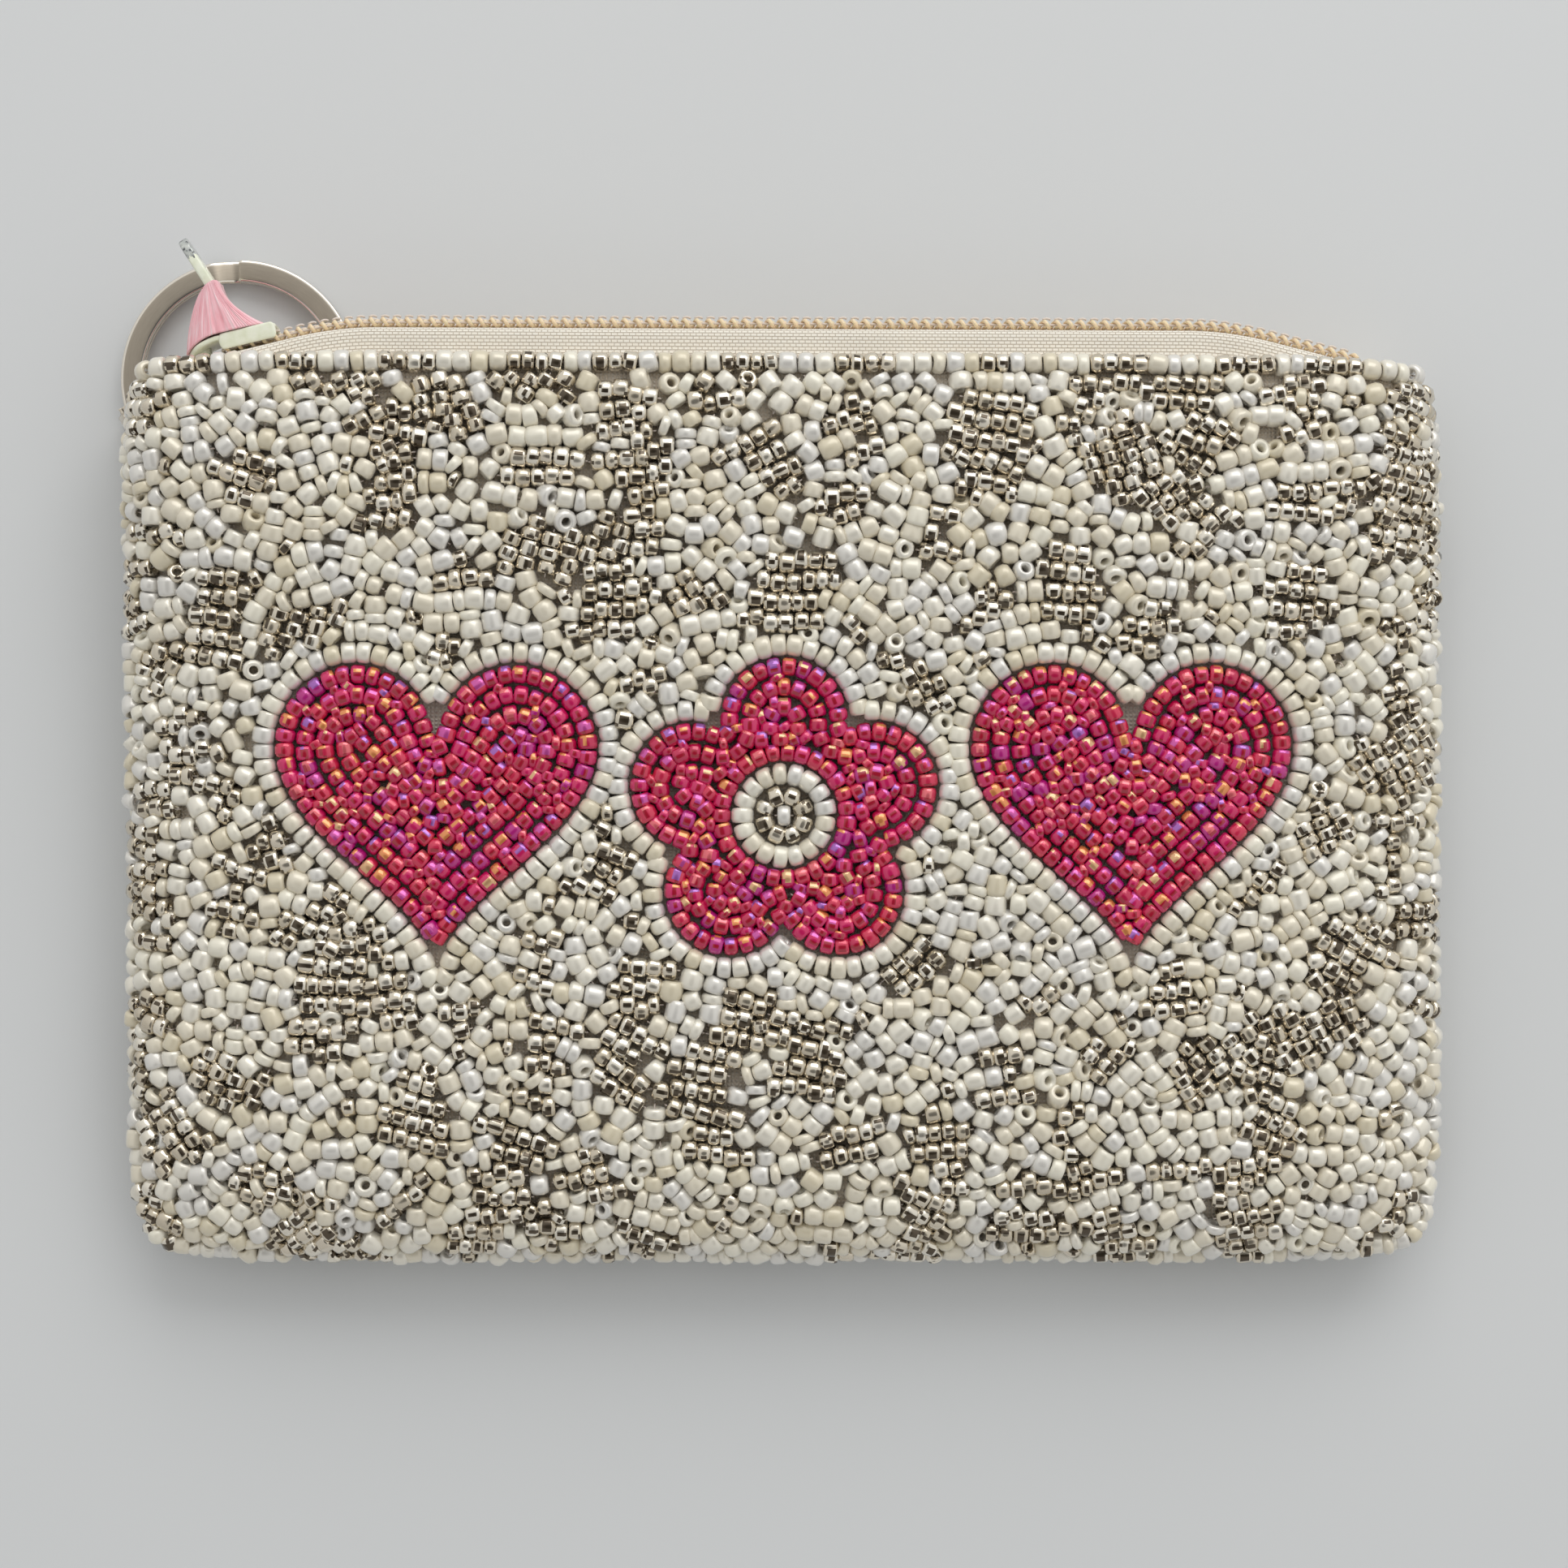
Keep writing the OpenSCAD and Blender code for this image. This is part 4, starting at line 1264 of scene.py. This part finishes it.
def plan_width(x):
    """Half width of the slider's plates along it."""
    nose, rear = (x + HALF_SLIDER) / 1.6, (HALF_SLIDER - x) / 1.1
    return 2.5 * np.clip(1 - (1 - np.clip(nose, 0, 1)) ** 2.4 * 0.55, 0, 1) * (
        1 - 0.28 * (1 - np.clip(rear, 0, 1)) ** 2)


def rounded_section(low, high, half, count=24, power=5.0):
    """A rounded rectangle of points in y and z."""
    a = np.linspace(0, 2 * np.pi, count, endpoint=False)
    c, s = np.cos(a), np.sin(a)
    y = (low + high) / 2 + (high - low) / 2 * np.sign(s) * np.abs(s) ** (2 / power)
    return np.stack([y, half * np.sign(c) * np.abs(c) ** (2 / power)], -1)


def bar_along_x(form, stations, low, high, half, z=0.0, count=24):
    """A bar along the slider. low, high and half give its section at each station."""
    rings = []
    for x, lo, hi, w in zip(stations, low, high, half):
        section = rounded_section(lo, hi, w, count)
        rings.append(np.column_stack([np.full(count, x), section[:, 0], section[:, 1] + z]))
    rings = np.stack(rings)
    weave = rings.reshape(-1, 3)
    sweep(form, on_slider(rings), False, weave)


def eased(n, low, high, ease):
    """Stations from low to high that crowd at both ends, and how full the section is at each."""
    a = np.linspace(0, np.pi, n)
    x = (low + high) / 2 - (high - low) / 2 * np.cos(a)
    full = np.minimum(1, np.minimum(x - low, high - x) / ease)
    return x, np.sqrt(np.maximum(0, 1 - (1 - full) ** 2)) * 0.86 + 0.14


def slider():
    """Two plates with flanges, the post between them at the nose, and the bridge that holds the pull."""
    half_thick = 0.36
    form = Form()
    x, full = eased(44, -HALF_SLIDER, HALF_SLIDER, 0.35)
    for middle in (plate_top(x) - half_thick, np.full_like(x, -PLATE_TOP - 0.02)):
        bar_along_x(form, x, middle - half_thick * full, middle + half_thick * full,
                    plan_width(x) * (0.94 + 0.06 * full), count=40)
    x, full = eased(26, -1.25, 4.66, 0.4)
    for side in (-1, 1):
        bar_along_x(form, x, 0.66 - 0.8 * full, 0.66 + 0.86 * full, 0.3 * (0.4 + 0.6 * full), side * 2.28)
    post_x, post_r = -3.3, 0.85
    a = np.linspace(0, 2 * np.pi, 24, endpoint=False)
    post = np.stack([np.column_stack([post_x + post_r * np.cos(a), np.full(24, h), post_r * np.sin(a)])
                     for h in np.linspace(-1.3, 0.8, 8)])
    post[..., 1] = np.minimum(post[..., 1], plate_top(post_x) - 0.4)
    sweep(form, on_slider(post), False, post.reshape(-1, 3))
    a = np.linspace(np.pi * 1.18, -np.pi * 0.18, 30)
    arch = np.stack([PIVOT[0] + 0.9 * np.cos(a), PIVOT[1] + 0.98 * np.sin(a), np.zeros(30)], -1)
    arch = np.vstack([[[PIVOT[0] - 1.6, 1.2, 0]], arch, [[PIVOT[0] + 1.6, 1.2, 0]]])
    rings = []
    for p, d in zip(arch, unit(np.gradient(arch, axis=0))):
        section = rounded_section(-half_thick, half_thick, 0.75, 16)
        n = np.array([-d[1], d[0], 0])
        rings.append(p + section[:, :1] * n + section[:, 1:] * np.array([0, 0, 1.0]))
    rings = np.stack(rings)
    sweep(form, on_slider(rings), False, rings.reshape(-1, 3))
    fit(form.make("slider_casting", [looks["enamel"]], 50), "slider", "slider_body")


def pull_tab():
    """A flat tab seen on edge, whose arms and pin lie hidden in the satin."""
    form = Form()
    edge = [(10, 0.5), (9.75, 1.3), (9.2, 2.0), (8.4, 2.3), (3.4, 2.3), (3.0, 2.2), (2.2, 1.55)]
    outline = [(x, -y) for x, y in edge[::-1]] + edge

    def on_edge(p):
        return on_pull(np.stack([p[:, 0], -p[:, 2], p[:, 1]], -1))

    slab(form, outline, -0.5, 0.5, 0.22, on_edge)
    arm = [(-0.55, -0.6), (0.2, -0.78), (2.9, -0.5), (2.9, 0.5), (0.2, 0.78), (-0.55, 0.6)]
    arm_z, arm_half, pin_r = 1.25, 0.28, 0.48
    for side in (-1, 1):
        slab(form, arm, side * arm_z - arm_half, side * arm_z + arm_half, 0.12, on_pull)
    pin = np.zeros((9, 3))
    pin[:, 2] = np.linspace(-arm_z - arm_half, arm_z + arm_half, 9)
    tube(form, on_pull(pin), pin_r, 16)
    fit(form.make("pull_strip", [looks["pull"]], 50), "pull", "pull_tab")


def satin_wrap():
    """Satin gathered from round the slider's top plate to a tight neck round the pull."""
    segments, rows, inner_rows, neck_x, cloth = 420, 34, 8, 4.3, 0.24
    a = np.linspace(0, 2 * np.pi, segments, endpoint=False)
    c, s = np.cos(a), np.sin(a)

    def swell(wave, power):
        return np.sign(wave) * np.abs(wave) ** power

    square = 2 / 3.2
    bx = -0.6 + 4.4 * swell(c, square)
    base = np.column_stack([bx, plate_top(bx) + 0.06, 2.72 * swell(s, square)])
    neck = np.column_stack([neck_x - 0.12 * np.cos(2 * a), -0.92 * swell(c, 0.6), 2.66 * swell(s, 0.45)])
    neck = turned(neck, PULL_TURN) + [*PIVOT, 0]
    rng = np.random.default_rng(5)
    wave = sum(rng.uniform(0.4, 1.0) * np.cos(k * a + rng.uniform(0, 6.3)) for k in (84, 97, 110, 71))
    crease = sum(rng.uniform(0.5, 1.0) * np.cos(k * a + rng.uniform(0, 6.3)) for k in (13, 21, 29))
    outward = unit(np.column_stack([c, np.zeros(segments), s]))
    bow = 1.0 + 1.1 * smooth((c + 0.1) / 1.1) - 0.4 * smooth((-c - 0.1) / 0.9)
    rings, weave, share = [], [], []
    for inner, steps in enumerate((np.linspace(1, 0, rows), np.linspace(0, 1, inner_rows))):
        for u in steps:
            spread = (u ** bow)[:, None]
            p = neck + (base - neck) * np.column_stack([spread[:, 0], np.full(segments, u), spread[:, 0]])
            fold = 0.035 * wave + 0.13 * crease * math.sin(math.pi * min(1, u * 1.1)) * u
            rings.append(p + outward * (fold * (0.35 + 0.65 * u) - cloth * inner)[:, None])
            weave.append(np.column_stack([a * 4.2, np.full(segments, u * 5.0), np.zeros(segments)]))
            share.append(np.full(segments, 1 - u))
    rings = np.stack(rings)
    form = Form()
    sweep(form, on_slider(rings), True, np.concatenate(weave))
    piece = form.make("pull_satin", [looks["wrap"]])
    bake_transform(piece)
    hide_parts("satin_wrap")


# ---- ring ----
TURN = 0.9              # thickness of one turn of the ring's stock
TAB_BEARING = math.radians(210)
TAB_W = 5.0


def split_ring():
    """Two turns of flat stock. The upper one ends square at the top, where the lower one climbs to it."""
    climb_from, climb = np.radians([91.5, 13])
    bearing = np.radians(np.concatenate([np.arange(-255, 84, 3), np.arange(84, 120, 1.0),
                                         np.arange(120, 448, 3), [448.5, 449.3, 449.8, 450]]))
    low, high = RING_LOW + TURN / 2 + 0.01, RING_TOP - TURN / 2 - 0.01
    z = low + (high - low) * smooth((bearing - climb_from) / climb)
    section = rounded_section(-TURN / 2, TURN / 2, STOCK / 2, 36, 6.0)
    end = np.minimum(1, np.minimum(bearing - bearing[0], bearing[-1] - bearing) * RING_MID / 0.2)
    size = 0.9 + 0.1 * np.sqrt(1 - (1 - end) ** 2)
    ray = np.column_stack([np.cos(bearing), np.sin(bearing)])
    r = RING_MID + section[None, :, 1] * size[:, None]
    rings = np.stack([RING[0] + r * ray[:, :1], RING[1] + r * ray[:, 1:],
                      z[:, None] + section[None, :, 0] * size[:, None]], -1)
    weave = np.stack([np.broadcast_to((bearing * RING_MID)[:, None], r.shape), r,
                      np.broadcast_to(section[None, :, 0], r.shape)], -1).reshape(-1, 3)
    form = Form()
    sweep(form, rings, False, weave)
    fit(form.make("two_turn_ring", [looks["nickel"]], 55), "ring", "split_ring")


def ring_tab():
    """A ribbon folded round the ring, whose two ends go up into the side seam."""
    base = -RING_LOW + 0.24
    path = np.array([[0.55, 6.6], [0.52, 5.2], [0.6, 4.2], [1.2, 3.2], [1.6, 2.2], [1.64, 1.0],
                     [1.6, 0.2], [1.1, base], [0.0, base], [-1.3, base], [-1.86, 0.2], [-1.92, 1.0],
                     [-1.9, 2.2], [-1.1, 3.2], [0.05, 4.2], [0.14, 5.2], [0.15, 6.6]])
    for _ in range(3):
        a, b = path[:-1], path[1:]
        cut = np.stack([a * 0.75 + b * 0.25, a * 0.25 + b * 0.75], 1).reshape(-1, 2)
        path = np.vstack([path[:1], cut, path[-1:]])
    path[:, 1] = np.maximum(path[:, 1], base)
    d = unit(np.gradient(path, axis=0))
    n = np.stack([-d[:, 1], d[:, 0]], -1)
    across = np.linspace(-TAB_W / 2, TAB_W / 2, 33)
    out = np.array([math.cos(TAB_BEARING), math.sin(TAB_BEARING), 0])
    tangent = np.array([-out[1], out[0], 0])
    layers = []
    for lean in (0.15, -0.15):
        rib = 0.03 * np.cos(across * 2 * np.pi / 0.5)[None, :] * np.sign(lean)
        edge = np.where(np.abs(across) > TAB_W / 2 - 0.25, 0.03, 0.0)[None, :] * np.sign(lean)
        q = path[:, None] + n[:, None] * (lean + rib + edge)[..., None]
        p = (RING_MID + q[..., :1]) * out + across[None, :, None] * tangent
        layers.append(p + [*RING, 0] + np.array([0, 0, 1.0]) * (RING_LOW + q[..., 1:]))
    along = lengths_along(path)
    u, v = np.meshgrid(along, across, indexing="ij")
    form = Form()
    cloth_shell(form, layers[0], layers[1], v, u)
    fit(form.make("ring_ribbon", [looks["ribbon"]]), "pouch_back", "ring_tab")


# ---- camera, light and table ----
def add_camera():
    """Straight above. width is how much of the table it takes in."""
    width, away, aim_y = 166.6, 325.0, 2.9
    camera = bpy.data.cameras.new("camera")
    camera.sensor_width = 36
    camera.lens = 36 * away / width
    camera.clip_start, camera.clip_end = 0.01, 10
    obj = bpy.data.objects.new("camera", camera)
    obj.location = (0, aim_y * MM, away * MM)
    bpy.context.scene.collection.objects.link(obj)
    bpy.context.scene.camera = obj


def add_window():
    """Daylight from beyond the zip, aimed at the purse. Its place and size are in metres."""
    light = bpy.data.lights.new("window", "AREA")
    light.shape, light.size, light.size_y = "RECTANGLE", 0.9, 0.6
    light.energy, light.color = 3.3, (1.0, 0.99, 0.97)
    obj = bpy.data.objects.new("window", light)
    obj.location = (0.2, 0.72, 0.55)
    obj.rotation_mode = "QUATERNION"
    obj.rotation_quaternion = (-obj.location).to_track_quat("-Z", "Y")
    bpy.context.scene.collection.objects.link(obj)


def add_world():
    """A pale room, brightest towards the window, with someone leaning in overhead from the near side."""
    world = bpy.data.worlds.new("room")
    bpy.context.scene.world = world
    world.use_nodes = True
    nodes, links = world.node_tree.nodes, world.node_tree.links
    at = nodes.new("ShaderNodeTexCoord")

    def toward(x, y, z):
        node = nodes.new("ShaderNodeVectorMath")
        node.operation = "DOT_PRODUCT"
        node.inputs[1].default_value = (x, y, z)
        links.new(at.outputs["Generated"], node.inputs[0])
        return node.outputs["Value"]

    def ramp(value, stops):
        node = nodes.new("ShaderNodeValToRGB")
        links.new(value, node.inputs[0])
        ends = node.color_ramp.elements
        for k, (position, grey) in enumerate(stops):
            e = ends[k] if k < 2 else ends.new(position)
            e.position, e.color = position, (grey, grey, grey * 0.99, 1)
        return node.outputs[0]

    overhead = ramp(toward(0.02, -0.22, 0.975), [(0.0, 1.0), (0.86, 1.0), (0.92, 0.45), (0.97, 0.14)])
    half = nodes.new("ShaderNodeMath")
    half.operation = "MULTIPLY_ADD"
    links.new(toward(0.33, 0.84, 0.42), half.inputs[0])
    half.inputs[1].default_value, half.inputs[2].default_value = 0.5, 0.5
    walls = ramp(half.outputs[0], [(0.0, 0.58), (1.0, 1.0), (0.45, 0.72), (0.75, 0.92)])
    mix = nodes.new("ShaderNodeMix")
    mix.data_type, mix.blend_type = "RGBA", "MULTIPLY"
    mix.inputs["Factor"].default_value = 1.0
    links.new(overhead, mix.inputs[6])
    links.new(walls, mix.inputs[7])
    links.new(mix.outputs[2], nodes["Background"].inputs["Color"])
    nodes["Background"].inputs["Strength"].default_value = 0.83


def add_table():
    """A flat table that runs on far past the purse."""
    half = 1600.0
    verts = half * np.array([[-1, -1, 0], [1, -1, 0], [1, 1, 0], [-1, 1, 0]])
    table = mesh_object("table", verts, [[0, 1, 2, 3]], False)
    table.data.materials.append(principled("table_top", (223, 225, 227), Roughness=0.6))


add_camera()
add_world()
add_window()
add_table()

looks = {PEARL: pearl_materials(), SILVER: silver_materials(), PINK: pink_materials(),
         "fabric": cloth_material("backing_weave", (222, 208, 190), (248, 240, 228), 0.42),
         "lining": satin_material("lining_satin_pink", (214, 140, 150), (232, 168, 176), (242, 196, 200),
                                  1.2),
         "tape": tape_material(),
         "coil": principled("coil_nylon", (247, 224, 187), Roughness=0.35, Coat_Weight=0.3,
                            Subsurface_Weight=0.1, Subsurface_Scale=0.001),
         "thread": principled("sewing_thread", (226, 214, 204), Roughness=0.6),
         "enamel": enamel_material("slider_paint", UNWORN),
         "pull": enamel_material("pull_paint", 7.6),
         "wrap": satin_material("pull_satin_pink", (244, 158, 170), (254, 192, 202), (255, 234, 238), 5.0),
         "nickel": nickel_material(),
         "ribbon": satin_material("ribbon_cream", (204, 192, 174), (222, 212, 196), (234, 226, 212), 3.0)}
for side, seed, patches in ((FRONT, 11, 104), (BACK, 23, 110)):
    name = SIDE_NAME[side]
    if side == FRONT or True:
        beads = lay_panel(side, seed, patches)
        bead_pieces(beads, looks, seed + 1)
        bead_threads(beads)
    for label, inset, thick, top, cells, wrinkle, slot, flat in (
            ("fabric", FABRIC_IN, 0.4, FABRIC_TOP, (120, 90), 0.0, "backing_cloth", (0.138, 0.094)),
            ("lining", LINING_IN, 0.25, LINING_TOP, (110, 80), 0.5, "lining_satin", (0.136, 0.090))):
        piece = panel_cloth(f"{name}_{label}_sheet", side, inset, thick, top, cells, wrinkle, looks[label])
        fit(piece, BODY[side], f"{name}_{label}")
    zip_tape(side)
    zip_coil(side)
    zip_stitches(side)
seam_stitches()
slider()
pull_tab()
satin_wrap()
split_ring()
ring_tab()

bpy.context.scene.view_settings.view_transform = "Standard"
